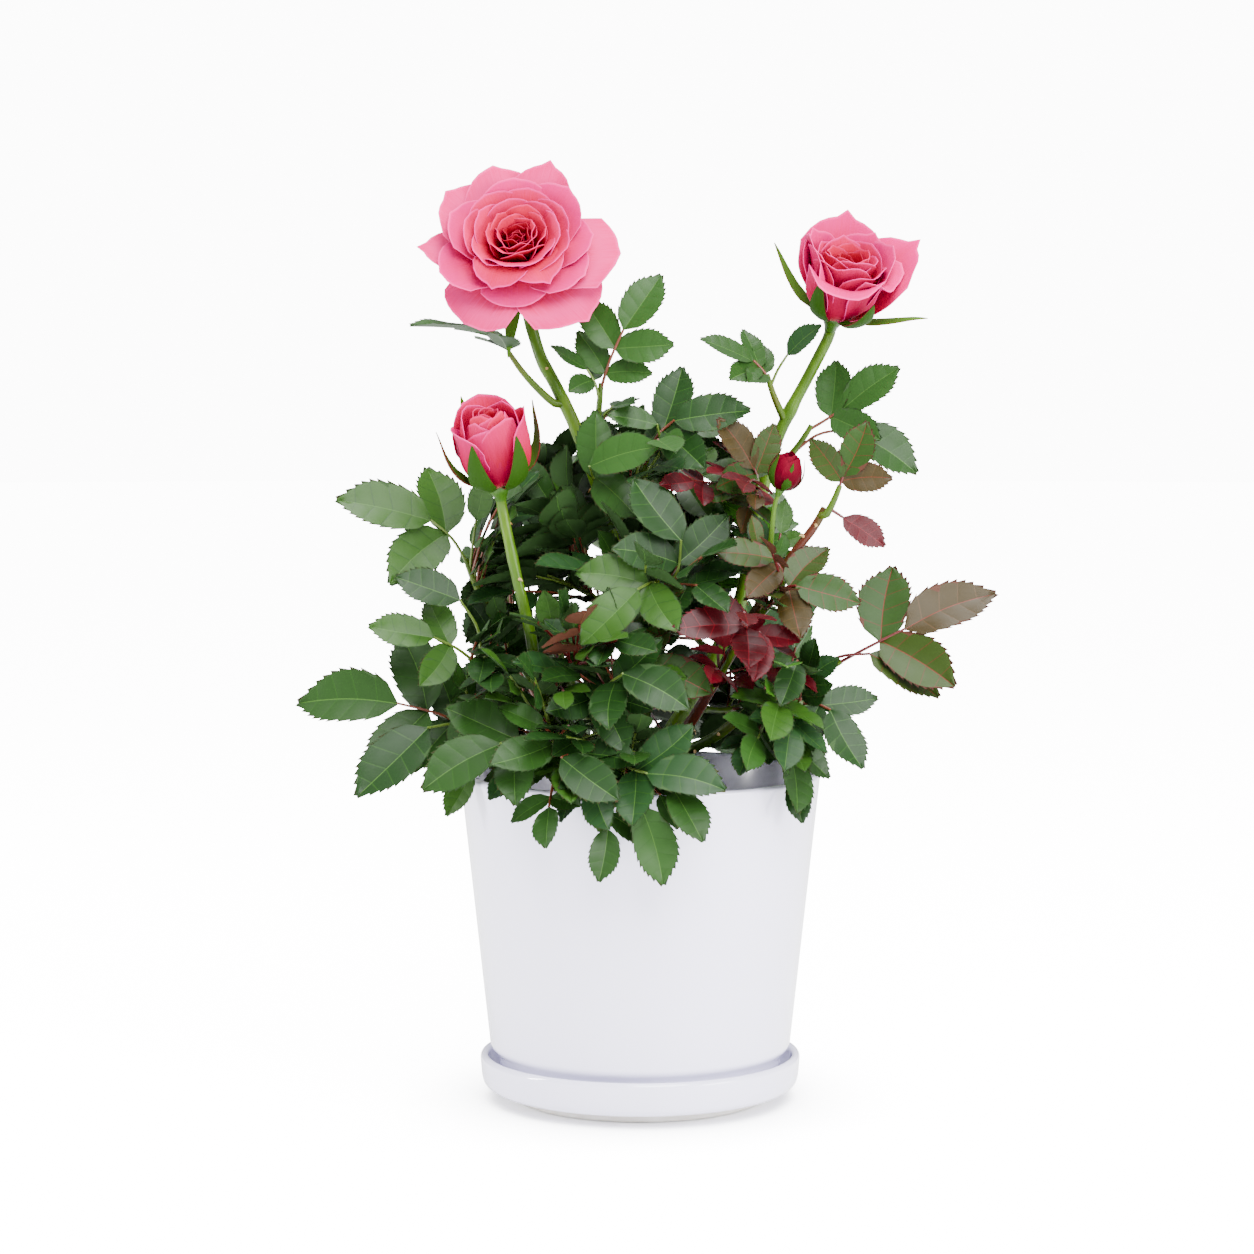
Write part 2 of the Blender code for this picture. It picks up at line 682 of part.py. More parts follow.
def petal_place(ring, azimuth, size, u, v):
    """A place on a petal of a bloom that faces +Z, for u from root to rim and v from side to side."""
    _, length, width, lean_root, lean_tip, flare, lift, hug, _ = ring
    reach = u * (1.0 - SHOULDER * abs(v) ** 2.4 + 0.05 * math.exp(-((v / 0.16) ** 2)))
    length *= size
    steps = 12
    out, height = 2.2, lift
    for k in range(steps):
        s = reach * (k + 0.5) / steps
        lean = lean_root + (lean_tip - lean_root) * s
        lean += flare * max(0.0, (s - FLARE_FROM) / (1.0 - FLARE_FROM)) ** 2
        out += math.sin(math.radians(lean)) * length * reach / steps
        height += math.cos(math.radians(lean)) * length * reach / steps
    spread = CLAW + (1.0 - CLAW) * math.sin(0.5 * math.pi * min(1.0, u / FULL_WIDTH))
    side = 0.5 * width * spread * v
    bend = 60.0 + (max(out, 5.0) - 60.0) * hug ** 0.5
    angle = side / bend
    inward = bend * (1.0 - math.cos(angle))
    lean = math.radians(lean_root + (lean_tip - lean_root) * reach)
    lapped = PETAL_LAP * side
    along_out = out - (inward + lapped) * math.cos(lean)
    rise = height + (inward + lapped) * math.sin(lean)
    across = bend * math.sin(angle)
    ca, sa = math.cos(azimuth), math.sin(azimuth)
    return Vector((along_out * ca - across * sa, along_out * sa + across * ca, rise))


def petal_solid(ring, azimuth, size):
    """One petal as a closed curved plate: its vertices and faces."""
    rows, columns = PETAL_ROWS, PETAL_COLUMNS
    grid = [
        [petal_place(ring, azimuth, size, r / rows, 2.0 * c / columns - 1.0) for c in range(columns + 1)]
        for r in range(rows + 1)
    ]
    front, back = [], []
    for r in range(rows + 1):
        for c in range(columns + 1):
            up = grid[min(r + 1, rows)][c] - grid[max(r - 1, 0)][c]
            right = grid[r][min(c + 1, columns)] - grid[r][max(c - 1, 0)]
            normal = right.cross(up).normalized() * (0.5 * PETAL_THICK)
            front.append(grid[r][c] + normal)
            back.append(grid[r][c] - normal)
    count = len(front)
    faces = []
    for r in range(rows):
        for c in range(columns):
            a = r * (columns + 1) + c
            b, d = a + 1, a + columns + 1
            faces.append((a, b, d + 1, d))
            faces.append((count + b, count + a, count + d, count + d + 1))
    edge = [c for c in range(columns + 1)]
    edge += [(r + 1) * (columns + 1) + columns for r in range(rows)]
    edge += [rows * (columns + 1) + c for c in range(columns - 1, -1, -1)]
    edge += [r * (columns + 1) for r in range(rows - 1, 0, -1)]
    for a, b in zip(edge, edge[1:] + edge[:1]):
        faces.append((b, a, count + a, count + b))
    return front + back, faces


def heart(profile, petals):
    """A hip with the closed heart of a bloom on it: a turned solid whose heart is stepped at the edge
    of each wrapped petal."""
    sides = petals * HEART_COLUMNS
    verts, rings, faces = [], [], []
    for radius, height in profile:
        around = sides if radius > 0 else 1
        rings.append(list(range(len(verts), len(verts) + around)))
        for k in range(around):
            a = math.tau * k / sides
            lap = (k % HEART_COLUMNS) / (HEART_COLUMNS - 1) - 0.5 if height > HIP[-1][1] else 0.0
            wide = radius * (1.0 + HEART_STEP * lap)
            verts.append(Vector((wide * math.cos(a), wide * math.sin(a), height)))
    for low, high in zip(rings, rings[1:]):
        for k in range(sides):
            n = (k + 1) % sides
            loop = [low[k % len(low)], low[n % len(low)], high[n % len(high)], high[k % len(high)]]
            faces.append(tuple(dict.fromkeys(loop)))
    faces.append(tuple(rings[0][::-1]))
    return verts, faces


def sepal(azimuth, lean, length):
    """One narrow pointed sepal from the top of the hip, as a folded blade."""
    ca, sa = math.cos(azimuth), math.sin(azimuth)
    out = Vector((ca, sa, 0.0))
    root = out * 2.4 + UP * 5.2
    lean = math.radians(lean)
    tip = root + (math.sin(lean) * out + math.cos(lean) * UP) * length
    face = UP - out
    return leaflet(root, tip, face, ratio=SEPAL_RATIO)


def bloom_operands(row):
    """A bloom's solids, facing its way: the hip with the heart, then each petal and the sepals."""
    base, axis, turn, rings, wrapped, _, lean, sepal_length, size = row
    operands = [[heart(HIP + wrapped, HEART_PETALS)]]
    rng = random.Random(turn)
    for ring in rings:
        petals = ring[0]
        for k in range(petals):
            azimuth = math.radians(turn + ring[-1] + rng.uniform(-5, 5)) + math.tau * k / petals
            operands.append([petal_solid(ring, azimuth, rng.uniform(0.94, 1.05))])
    operands.append(sepals(turn, lean, sepal_length))
    return [in_frame(bloom_frame(base, axis, size), solids) for solids in operands]


def sepals(turn, lean, length):
    return [sepal(math.radians(turn) + math.tau * k / 5, lean, length) for k in range(5)]


def bloom_room(row):
    """The solids that new leaves keep clear of at a bloom: one round its petals, and its sepals."""
    base, axis, turn, _, _, room, lean, sepal_length, size = row
    solids = [turned_solid(room, ROOM_SIDES), *sepals(turn, lean, sepal_length)]
    return in_frame(bloom_frame(base, axis, size), solids)


def bloom_frame(base, axis, size):
    """The frame that takes +Z to a bloom's axis and the origin to the foot of its hip."""
    turned_up = Vector(axis).normalized().to_track_quat("Z", "Y").to_matrix().to_4x4()
    return Matrix.Translation(Vector(base)) @ turned_up @ Matrix.Scale(size, 4)


def in_frame(frame, solids):
    return [([frame @ v for v in verts], faces) for verts, faces in solids]


class Space:
    """What is placed so far, to keep new leaves clear of it."""

    def __init__(self):
        self.held = []

    def add(self, owner, solid):
        verts, faces = solid
        low = Vector([min(v[i] for v in verts) for i in range(3)])
        high = Vector([max(v[i] for v in verts) for i in range(3)])
        self.held.append((owner, BVHTree.FromPolygons(verts, faces), low, high))

    def is_clear(self, solid, besides=()):
        verts, faces = solid
        low = Vector([min(v[i] for v in verts) for i in range(3)])
        high = Vector([max(v[i] for v in verts) for i in range(3)])
        tree = None
        for owner, other, least, most in self.held:
            if owner in besides or any(high[i] < least[i] or low[i] > most[i] for i in range(3)):
                continue
            tree = tree or BVHTree.FromPolygons(verts, faces)
            if tree.overlap(other):
                return False
        return True


def in_crown(place):
    offset = place - CROWN_MIDDLE
    return sum((offset[i] / CROWN_REACH[i]) ** 2 for i in range(3)) < 1.0


def above_soil(place):
    over_pot = math.hypot(place.x, place.y) < POT_RIM_RADIUS + RIM_GAP
    return place.z > (SOIL_TOP + SOIL_GAP if over_pot else LOWEST_LEAF)


class Mass:
    """One mass of foliage: a stem, the stalks of its leaves and their blades."""

    def __init__(self, name, row, canes, space):
        cane, height, end, self.shown, self.wanted, self.size, self.colour, seed = row
        self.name = name
        self.rng = random.Random(seed)
        self.space = space
        self.stalks, self.blades = [], []
        self.grow_stem(canes[cane], height, Vector(end))

    def grow_stem(self, cane, height, goal):
        """The stem starts as near its cane as the gap allows. Where something is in the way, it starts a
        little higher or lower and ends a little to one side."""
        for attempt in range(STEM_TRIES):
            slack = STEM_SLACK * attempt
            end = goal + Vector([self.rng.uniform(-1, 1) for _ in range(3)]) * slack
            place, heading = at_height(cane.path, height + self.rng.uniform(-1, 1) * slack)
            out = (end - place).normalized()
            aside = (out - heading * out.dot(heading)).normalized()
            for k in range(STEM_STEPS):
                start = place + aside * (STEM_START + STEM_STEP * k)
                arrival = (end - start).normalized().lerp(UP, LIFT).normalized()
                self.stem = bent(start, end, arrival, STEM_BEND)
                grown = drawn_back(self.stem, SHOOT_RADIUS + 2 * CLEAR, SHOOT_TIP + 2 * CLEAR, 3)
                if self.space.is_clear(grown) and all(above_soil(p) for p in self.stem):
                    self.stem_solid = tube(self.stem, tapered(self.stem, SHOOT_RADIUS, SHOOT_TIP), 3)
                    self.space.add((self.name, "stem"), self.stem_solid)
                    return
        raise RuntimeError(self.name + " has no room for its stem")

    def add_leaf(self, base, fork, tip, normal, count, inside):
        """Adds the leaf if its stalk and end leaflet fit, leaving out side leaflets that don't. With inside,
        blades that would leave the crown don't fit."""
        stalk, blades = compound_leaf(base, fork, tip, normal, count, self.rng)
        owner = (self.name, len(self.stalks))
        test = tube(stalk[1:], tapered(stalk[1:], STALK_RADIUS + CLEAR, STALK_TIP + CLEAR), TEST_SIDES)
        if not self.space.is_clear(test) or not all(above_soil(p) for p in stalk):
            return False
        test = tube(stalk, tapered(stalk, STALK_RADIUS + CLEAR, STALK_TIP + CLEAR), TEST_SIDES)
        if not self.space.is_clear(test, [(self.name, "stem")]):
            return False
        kept = []
        for blade in blades:
            root, end, face, side = blade
            solid = leaflet(root, end, face, CLEAR + FACE_MARGIN)
            fits = self.space.is_clear(solid, [owner]) and all(above_soil(v) for v in solid[0])
            if inside and fits:
                fits = all(in_crown(v) for v in solid[0])
            if fits:
                kept.append(blade)
            elif side == 0:
                return False
        main = stalk_with_blade(stalk, tip, normal)
        self.space.add(owner, main)
        for root, end, face, side in kept[1:]:
            self.space.add((self.name, "blade"), leaflet(root, end, face))
        self.stalks.append(main)
        self.blades += kept
        return True

    def shown_leaf(self, fork, tip, count, turn):
        """A leaf at a place that shows. Its foot is tried further and further down the stem, and then
        small shifts of the whole leaf."""
        nearest = min(range(21), key=lambda k: (along(self.stem, k / 20)[0] - fork).length)
        first = min(LAST_SHARE, max(0.2, nearest / 20 - 0.1))
        head = (tip - fork).normalized()
        for attempt in range(SHOWN_TRIES):
            shifted, start = divmod(attempt, SHOWN_SHARES)
            base = along(self.stem, max(0.1, first - SHOWN_STEP * start))[0]
            shift = Vector([self.rng.uniform(-1, 1) for _ in range(3)]) * (SHOWN_SHIFT * shifted)
            normal = facing(head, turn + self.rng.uniform(-1, 1) * (SHOWN_TURN * shifted))
            if self.add_leaf(base, fork + shift, tip + shift, normal, count, False):
                return

    def extra_leaves(self):
        """Leaves by the seeded rule: they leave the stem round it by the golden angle."""
        heading = (self.stem[-1] - self.stem[0]).normalized()
        outward = Vector((self.stem[-1].x, self.stem[-1].y, 0.0)).normalized()
        side = side_of(heading)
        across = heading.cross(side)
        grown, attempt = 0, 0
        while grown < self.wanted and attempt < TRIES * self.wanted:
            attempt += 1
            at_end = grown == 0 and attempt <= END_TRIES
            share = LAST_SHARE if at_end else self.rng.uniform(FIRST_SHARE, 0.9)
            base, head = along(self.stem, share)
            angle = attempt * GOLDEN_ANGLE + self.rng.uniform(-0.3, 0.3)
            ring = math.cos(angle) * side + math.sin(angle) * across
            spread = self.rng.uniform(*(END_SPREAD if at_end else LEAF_SPREAD))
            out = (head + spread * ring + LIFT * (UP + outward)).normalized()
            length = self.size * self.rng.uniform(*SIZES)
            count = 5 if self.rng.random() < FIVE_SHARE else 3
            fork = base + out * (length * self.rng.uniform(*STALKS))
            drooped = (out - UP * self.rng.uniform(*DROOPS)).normalized()
            tip = fork + drooped * length
            normal = UP + 0.7 * outward + 0.5 * Vector([self.rng.uniform(-1, 1) for _ in range(3)])
            normal = (normal - drooped * normal.dot(drooped)).normalized()
            if self.add_leaf(base, fork, tip, normal, count, True):
                grown += 1

    def parts(self):
        """The operands of the union: no two solids in one operand touch."""
        left = [leaflet(*blade[:3]) for blade in self.blades if blade[3] == -1]
        right = [leaflet(*blade[:3]) for blade in self.blades if blade[3] == 1]
        return [[self.stem_solid], self.stalks, left, right]


def joined(solids):
    """Several solids as one list of vertices and faces."""
    verts, faces = [], []
    for more, loops in solids:
        start = len(verts)
        verts += more
        faces += [tuple(start + k for k in loop) for loop in loops]
    return verts, faces


def fuse(name, operands, mat):
    """One closed body from groups of solids, by a Boolean union on a collection."""
    groups = [joined(solids) for solids in operands if solids]
    first = mesh_object(name, *groups[0], mat)
    others = bpy.data.collections.new(name + " parts")
    for k, group in enumerate(groups[1:]):
        piece = mesh_object(f"{name}_part{k}", *group, mat)
        bpy.context.scene.collection.objects.unlink(piece)
        others.objects.link(piece)
    union = first.modifiers.new("Union", "BOOLEAN")
    union.operation = "UNION"
    union.operand_type = "COLLECTION"
    union.collection = others
    union.solver = "MANIFOLD"
    graph = bpy.context.evaluated_depsgraph_get()
    fused = bpy.data.meshes.new_from_object(first.evaluated_get(graph))
    first.modifiers.clear()
    first.data = fused
    for piece in list(others.objects):
        bpy.data.objects.remove(piece, do_unlink=True)
    bpy.data.collections.remove(others)
    keep_one_body(first)
    return first


def keep_one_body(obj):
    """Drops loose scraps and fills hollows: only the largest closed skin stays."""
    bm = bmesh.new()
    bm.from_mesh(obj.data)
    bmesh.ops.triangulate(bm, faces=bm.faces)
    left = set(bm.faces)
    shells = []
    while left:
        shell, edge = [], [left.pop()]
        while edge:
            face = edge.pop()
            shell.append(face)
            near = {f for e in face.edges for f in e.link_faces if f in left}
            edge += near
            left -= near
        shells.append(shell)
    shells.sort(key=lambda shell: sum(f.calc_area() for f in shell))
    bmesh.ops.delete(bm, geom=[f for shell in shells[:-1] for f in shell], context="FACES")
    bm.to_mesh(obj.data)
    bm.free()


class Cane:
    def __init__(self, foot, places, radii, bloom):
        start = Vector((foot[0], foot[1], SOIL_TOP + KNUCKLE_HEIGHT + CLEAR))
        lift = start + UP * FOOT_LIFT
        places = [start, lift, *[Vector(p) for p in places], *neck(bloom)]
        self.path = smooth_path(places, CANE_STEP)
        self.solid = tube(self.path, tapered(self.path, *radii), CANE_SIDES)


def drawn_back(path, first, last, sides):
    """A tube along a path that starts by the gap before it, for the test of what it would touch."""
    path = [path[0] - (path[1] - path[0]).normalized() * CLEAR, *path[1:]]
    return tube(path, tapered(path, first, last), sides)


def bud_stalk(cane, space):
    """The path of the closed bud's stalk, from as near its cane as the gap allows."""
    place, heading = at_height(cane.path, BUD_STALK_HEIGHT)
    out = neck("bud_closed")[0] - place
    aside = (out - heading * out.dot(heading)).normalized()
    first, last = BUD_STALK_RADII
    for k in range(STEM_STEPS):
        path = smooth_path([place + aside * (STEM_START + STEM_STEP * k), *neck("bud_closed")], CANE_STEP)
        if space.is_clear(drawn_back(path, first + CLEAR, last + CLEAR, CANE_SIDES)):
            return path
    raise RuntimeError("no room for the closed bud's stalk")


def neck(bloom):
    """The last two places of what bears a bloom: straight under its hip, with the gap."""
    if not bloom:
        return []
    base, axis = Vector(BLOOMS[bloom][0]), Vector(BLOOMS[bloom][1]).normalized()
    return [base - axis * (NECK + CLEAR), base - axis * CLEAR]


def main():
    drop_everything()
    glaze = material("glazed_white", (0.80, 0.80, 0.80), 0.12)
    saucer_glaze = material("glazed_white_saucer", (0.80, 0.80, 0.80), 0.12)
    earth = material("potting_soil", (0.030, 0.020, 0.014), 0.95)
    old_wood = material("old_wood", (0.12, 0.08, 0.04), 0.8)

    pot = turned_solid(pot_profile(), TURNED_SIDES)
    soil = turned_solid(soil_profile(), SOIL_SIDES)
    knuckle = turned_solid(knuckle_profile(), KNUCKLE_SIDES)
    turned("saucer", turned_solid(saucer_profile(), TURNED_SIDES), saucer_glaze)
    turned("pot", pot, glaze)
    turned("soil", soil, earth)
    turned("stem", knuckle, old_wood)

    space = Space()
    for solid in (pot, soil, knuckle):
        space.add("pot", solid)

    canes = {name: Cane(*row, BEARERS.get(name)) for name, row in CANES.items()}
    limbs = {name: cane.solid for name, cane in canes.items()}
    for name, solid in limbs.items():
        space.add(name, solid)
    path = bud_stalk(canes["cane_red_shoot"], space)
    limbs["bud_stalk"] = tube(path, tapered(path, *BUD_STALK_RADII), CANE_SIDES)
    space.add("bud_stalk", limbs["bud_stalk"])
    for name, solid in limbs.items():
        mesh_object(name, *solid, material(name + "_bark", CANE_GREEN, 0.5)).data.shade_smooth()

    for name, row in BLOOMS.items():
        fuse(name, bloom_operands(row), material(name + "_petal", PINK, 0.5))
        for solid in bloom_room(row):
            space.add(name, solid)

    masses = [Mass(name, row, canes, space) for name, row in MASSES.items()]
    for mass in masses:
        for fork, tip, count, turn in mass.shown:
            mass.shown_leaf(Vector(fork), Vector(tip), count, turn)
    for mass in masses:
        mass.extra_leaves()
    for mass in masses:
        fuse(mass.name, mass.parts(), material(mass.name + "_leaf", mass.colour, 0.5))


if __name__ == "__main__":
    main()
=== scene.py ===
"""Builds a flowering patio rose in a white glazed pot with its saucer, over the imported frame.

Lengths are in millimetres until a mesh is made, which is in metres. +Z is up and -Y is the front.
"""

import random
from functools import cache
from math import atan2, cos, exp, hypot, pi, radians, sin, sqrt, tau

import bpy
import numpy as np
from bpy.props import FloatProperty, IntProperty, PointerProperty, StringProperty
from bpy.types import Operator, Panel, PropertyGroup
from mathutils import Matrix, Vector
from mathutils.bvhtree import BVHTree


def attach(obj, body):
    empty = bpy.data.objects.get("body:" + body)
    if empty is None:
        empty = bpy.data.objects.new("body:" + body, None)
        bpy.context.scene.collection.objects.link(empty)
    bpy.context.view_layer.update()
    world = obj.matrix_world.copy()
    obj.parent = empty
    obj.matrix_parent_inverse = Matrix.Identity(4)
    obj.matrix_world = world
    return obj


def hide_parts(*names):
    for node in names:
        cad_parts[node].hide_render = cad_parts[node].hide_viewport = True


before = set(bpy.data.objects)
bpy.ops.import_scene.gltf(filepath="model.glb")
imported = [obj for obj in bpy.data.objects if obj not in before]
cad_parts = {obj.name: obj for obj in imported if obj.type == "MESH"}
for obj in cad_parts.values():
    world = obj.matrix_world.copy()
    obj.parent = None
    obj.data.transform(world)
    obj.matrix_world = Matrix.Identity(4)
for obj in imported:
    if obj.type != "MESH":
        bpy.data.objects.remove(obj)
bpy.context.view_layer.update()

bl_info = {
    "name": "Potted patio rose",
    "version": (1, 0, 0),
    "blender": (4, 5, 0),
    "location": "3D View > Sidebar > Patio rose",
    "description": "Builds a flowering patio rose in a white glazed pot with its saucer",
    "category": "Add Mesh",
}

MM = 0.001
CLEAR = 0.3  # gap that neighbouring solids keep
UP = Vector((0.0, 0.0, 1.0))
VIEWER = Vector((0.0, -0.8, 0.6))  # where most blades on the front turn their faces
EDGE_ON = 0.2  # a blade that heads this nearly to the viewer turns its face up instead
WHITE = (1.0, 1.0, 1.0, 1.0)

# Saucer, pot and soil
FOOT_RADIUS = 45.9
FOOT_HEIGHT = 3.6
SAUCER_RADIUS = 57.9
SAUCER_HEIGHT = 16.5
SAUCER_WALL = 3.0
SAUCER_FLOOR = 6.0
POT_RIM_RADIUS = 65.0
POT_HEIGHT = 118.6
POT_WALL = 3.5
POT_SHOULDER = 18.9  # above it the wall is straight, below it the wall curves in to the base
POT_SHOULDER_RADIUS = 54.2
POT_BASE_RADIUS = 44.0
POT_FLOOR = 6.0
SOIL_TOP = 104.0
SOIL_CROWN = 2.0
TURNED_SIDES = 36
SOIL_SIDES = 32
KNUCKLE_SIDES = 16
ROOM_SIDES = 12

# The knuckle that the canes rise from, and the rings their feet stand on
KNUCKLE_RADIUS = 14.0
KNUCKLE_HEIGHT = 13.0
FOOT_RING = 10.4
INNER_RING = 3.7
FOOT_LIFT = 5.0  # the upright start of a cane
CANE_SIDES = 6
CANE_STEP = 14.0  # length of one straight stretch of a cane

# Leaves
BLADE_RATIO = 0.56  # width of a leaflet for its length
BLADE_WIDEST = 0.42  # share of its length where it is widest
BLADE_THICKEST = 0.16
BLADE_THICK = 0.9
BLADE_FOLD = 0.20  # rise of a blade's edges for its half width
BLADE_DROOP = 0.08  # drop of a blade's tip for its length
STALK_RADIUS = 0.65
STALK_TIP = 0.6
SHOOT_RADIUS = 1.5
SHOOT_TIP = 1.15
END_TRIES = 12
SINK = 0.3  # how far a side leaflet runs past the middle of its stalk
SIDE_ANGLE = 62  # degrees between a side leaflet and its stalk
SIDE_ANGLE_SPREAD = 10
SIDE_TILT_SPREAD = 0.25
SIDE_SIZE_SPREAD = 0.12
SIDE_CUP = 0.2  # turn of a side leaflet's face away from the stalk

# Each pair of side leaflets, from the end of the leaf: how far it stands back from the fork for the end
# leaflet's length, and at most for the stalk's, and its length for the end leaflet's
SIDE_PAIRS = [(0.30, 0.35, 0.88), (0.85, 0.72, 0.72)]

# The growing rule
LAST_SHARE = 0.95  # of a stem, where its last leaf starts
FIRST_SHARE = 0.3  # of a stem, where its first leaf may start
SIDE_SHARE = 0.9  # and where the last one below the end may
TRIES = 200  # for each leaf the rule adds
STEM_TRIES = 40
STEM_SLACK = 0.25  # shift of a stem's ends that each new try adds
STEM_STEPS = 40
STEM_START = 1.0  # nearest start of a stem to the middle of its cane
STEM_STEP = 0.1  # each next start is this much further out
STEM_BEND = 3  # straight stretches of a stem
STEM_INSIDE = 2.0  # how far down inside its cane a twig's mesh starts
STEM_MARKS = 20  # places along a stem that are compared with a shown leaf
SHOWN_TRIES = 60
SHOWN_SHARES = 10  # starts along the stem that are tried before a leaf is shifted
SHOWN_STEP = 0.09  # of the stem, between those starts
SHOWN_SHIFT = 0.8
SHOWN_TURN = 6  # degrees
SHOWN_NEAR = 0.2  # of the stem, the lowest first start
SHOWN_NEAREST = 0.1  # and the lowest of all
SHOWN_BACK = 0.1  # from the leaf's own place to its first start
FACE_MARGIN = 0.05  # what a blade keeps beyond the gap
TEST_SIDES = 6
GOLDEN_ANGLE = radians(137.5)
END_SPREAD = (0.1, 0.6)  # how far an end leaf leans from its stem, and any other leaf
LEAF_SPREAD = (0.8, 1.6)
ANGLE_SPREAD = 0.3  # radians, either way from the golden angle
LIFT = 0.25  # how much a new leaf turns up, and outwards
FACE_OUT = 0.7  # how much its face turns outwards
FACE_SPREAD = 0.5
SIZES = (0.82, 1.15)  # of an added leaf for its mass's leaflet length
STALKS = (0.85, 1.25)  # length of its stalk for its end leaflet's
DROOPS = (0.1, 0.6)
FIVE_SHARE = 0.75  # of the added leaves have five leaflets, the others three
CROWN_MIDDLE = Vector((0.0, 0.0, 140.0))
CROWN_REACH = Vector((76.0, 106.0, 114.0))
SOIL_GAP = 3.0  # that leaves keep above the soil
RIM_GAP = 2.0  # that leaves keep round the rim when they hang below the soil's top
LOWEST_LEAF = 60.0

# Each cane: where its foot stands on the knuckle, the places it bends through, and its radius at foot
# and tip. One that bears a bloom runs on to the bloom's hip.
CANES = {
    "cane_open_bloom": (
        (-INNER_RING, 0.0),
        [(-3, 3, 144), (-10, 3, 202), (-24, 3, 244), (-36, 5, 268), (-41, 6.5, 286)],
        (3.0, 2.2),
    ),
    "cane_half_open_bloom": (
        (INNER_RING, 0.0),
        [(20, 4, 147), (36, 3, 180), (42, 1, 212), (49, 1, 238), (60, 2.5, 260)],
        (3.0, 2.15),
    ),
    "cane_bud": (
        (-7.4, -7.4),
        [(-20, -18, 128), (-34, -32, 146), (-38, -42, 170), (-43, -45, 192)],
        (2.6, 1.9),
    ),
    "cane_red_shoot": (
        (7.4, -7.4),
        [(18, -15, 138), (33, -26, 165), (46, -34, 189), (60, -37, 208), (64, -38, 215)],
        (2.3, 1.5),
    ),
    "cane_left": ((-FOOT_RING, 0.0), [(-24, -4, 134), (-42, -9, 158), (-54, -12, 184)], (2.5, 1.6)),
    "cane_right": ((FOOT_RING, 0.0), [(26, -6, 131), (44, -12, 146), (57, -16, 157)], (2.4, 1.6)),
    "cane_front": ((0.0, -FOOT_RING), [(-1, -24, 127), (-2, -38, 132), (-3, -50, 135)], (2.4, 1.6)),
    "cane_back": ((0.0, FOOT_RING), [(2, 22, 138), (1, 36, 164), (-2, 44, 190)], (2.5, 1.5)),
    "cane_back_left": ((-7.4, 7.4), [(-20, 16, 138), (-32, 25, 164), (-38, 30, 194)], (2.5, 1.5)),
    "cane_back_right": ((7.4, 7.4), [(20, 18, 136), (34, 28, 164), (40, 32, 194)], (2.5, 1.5)),
}

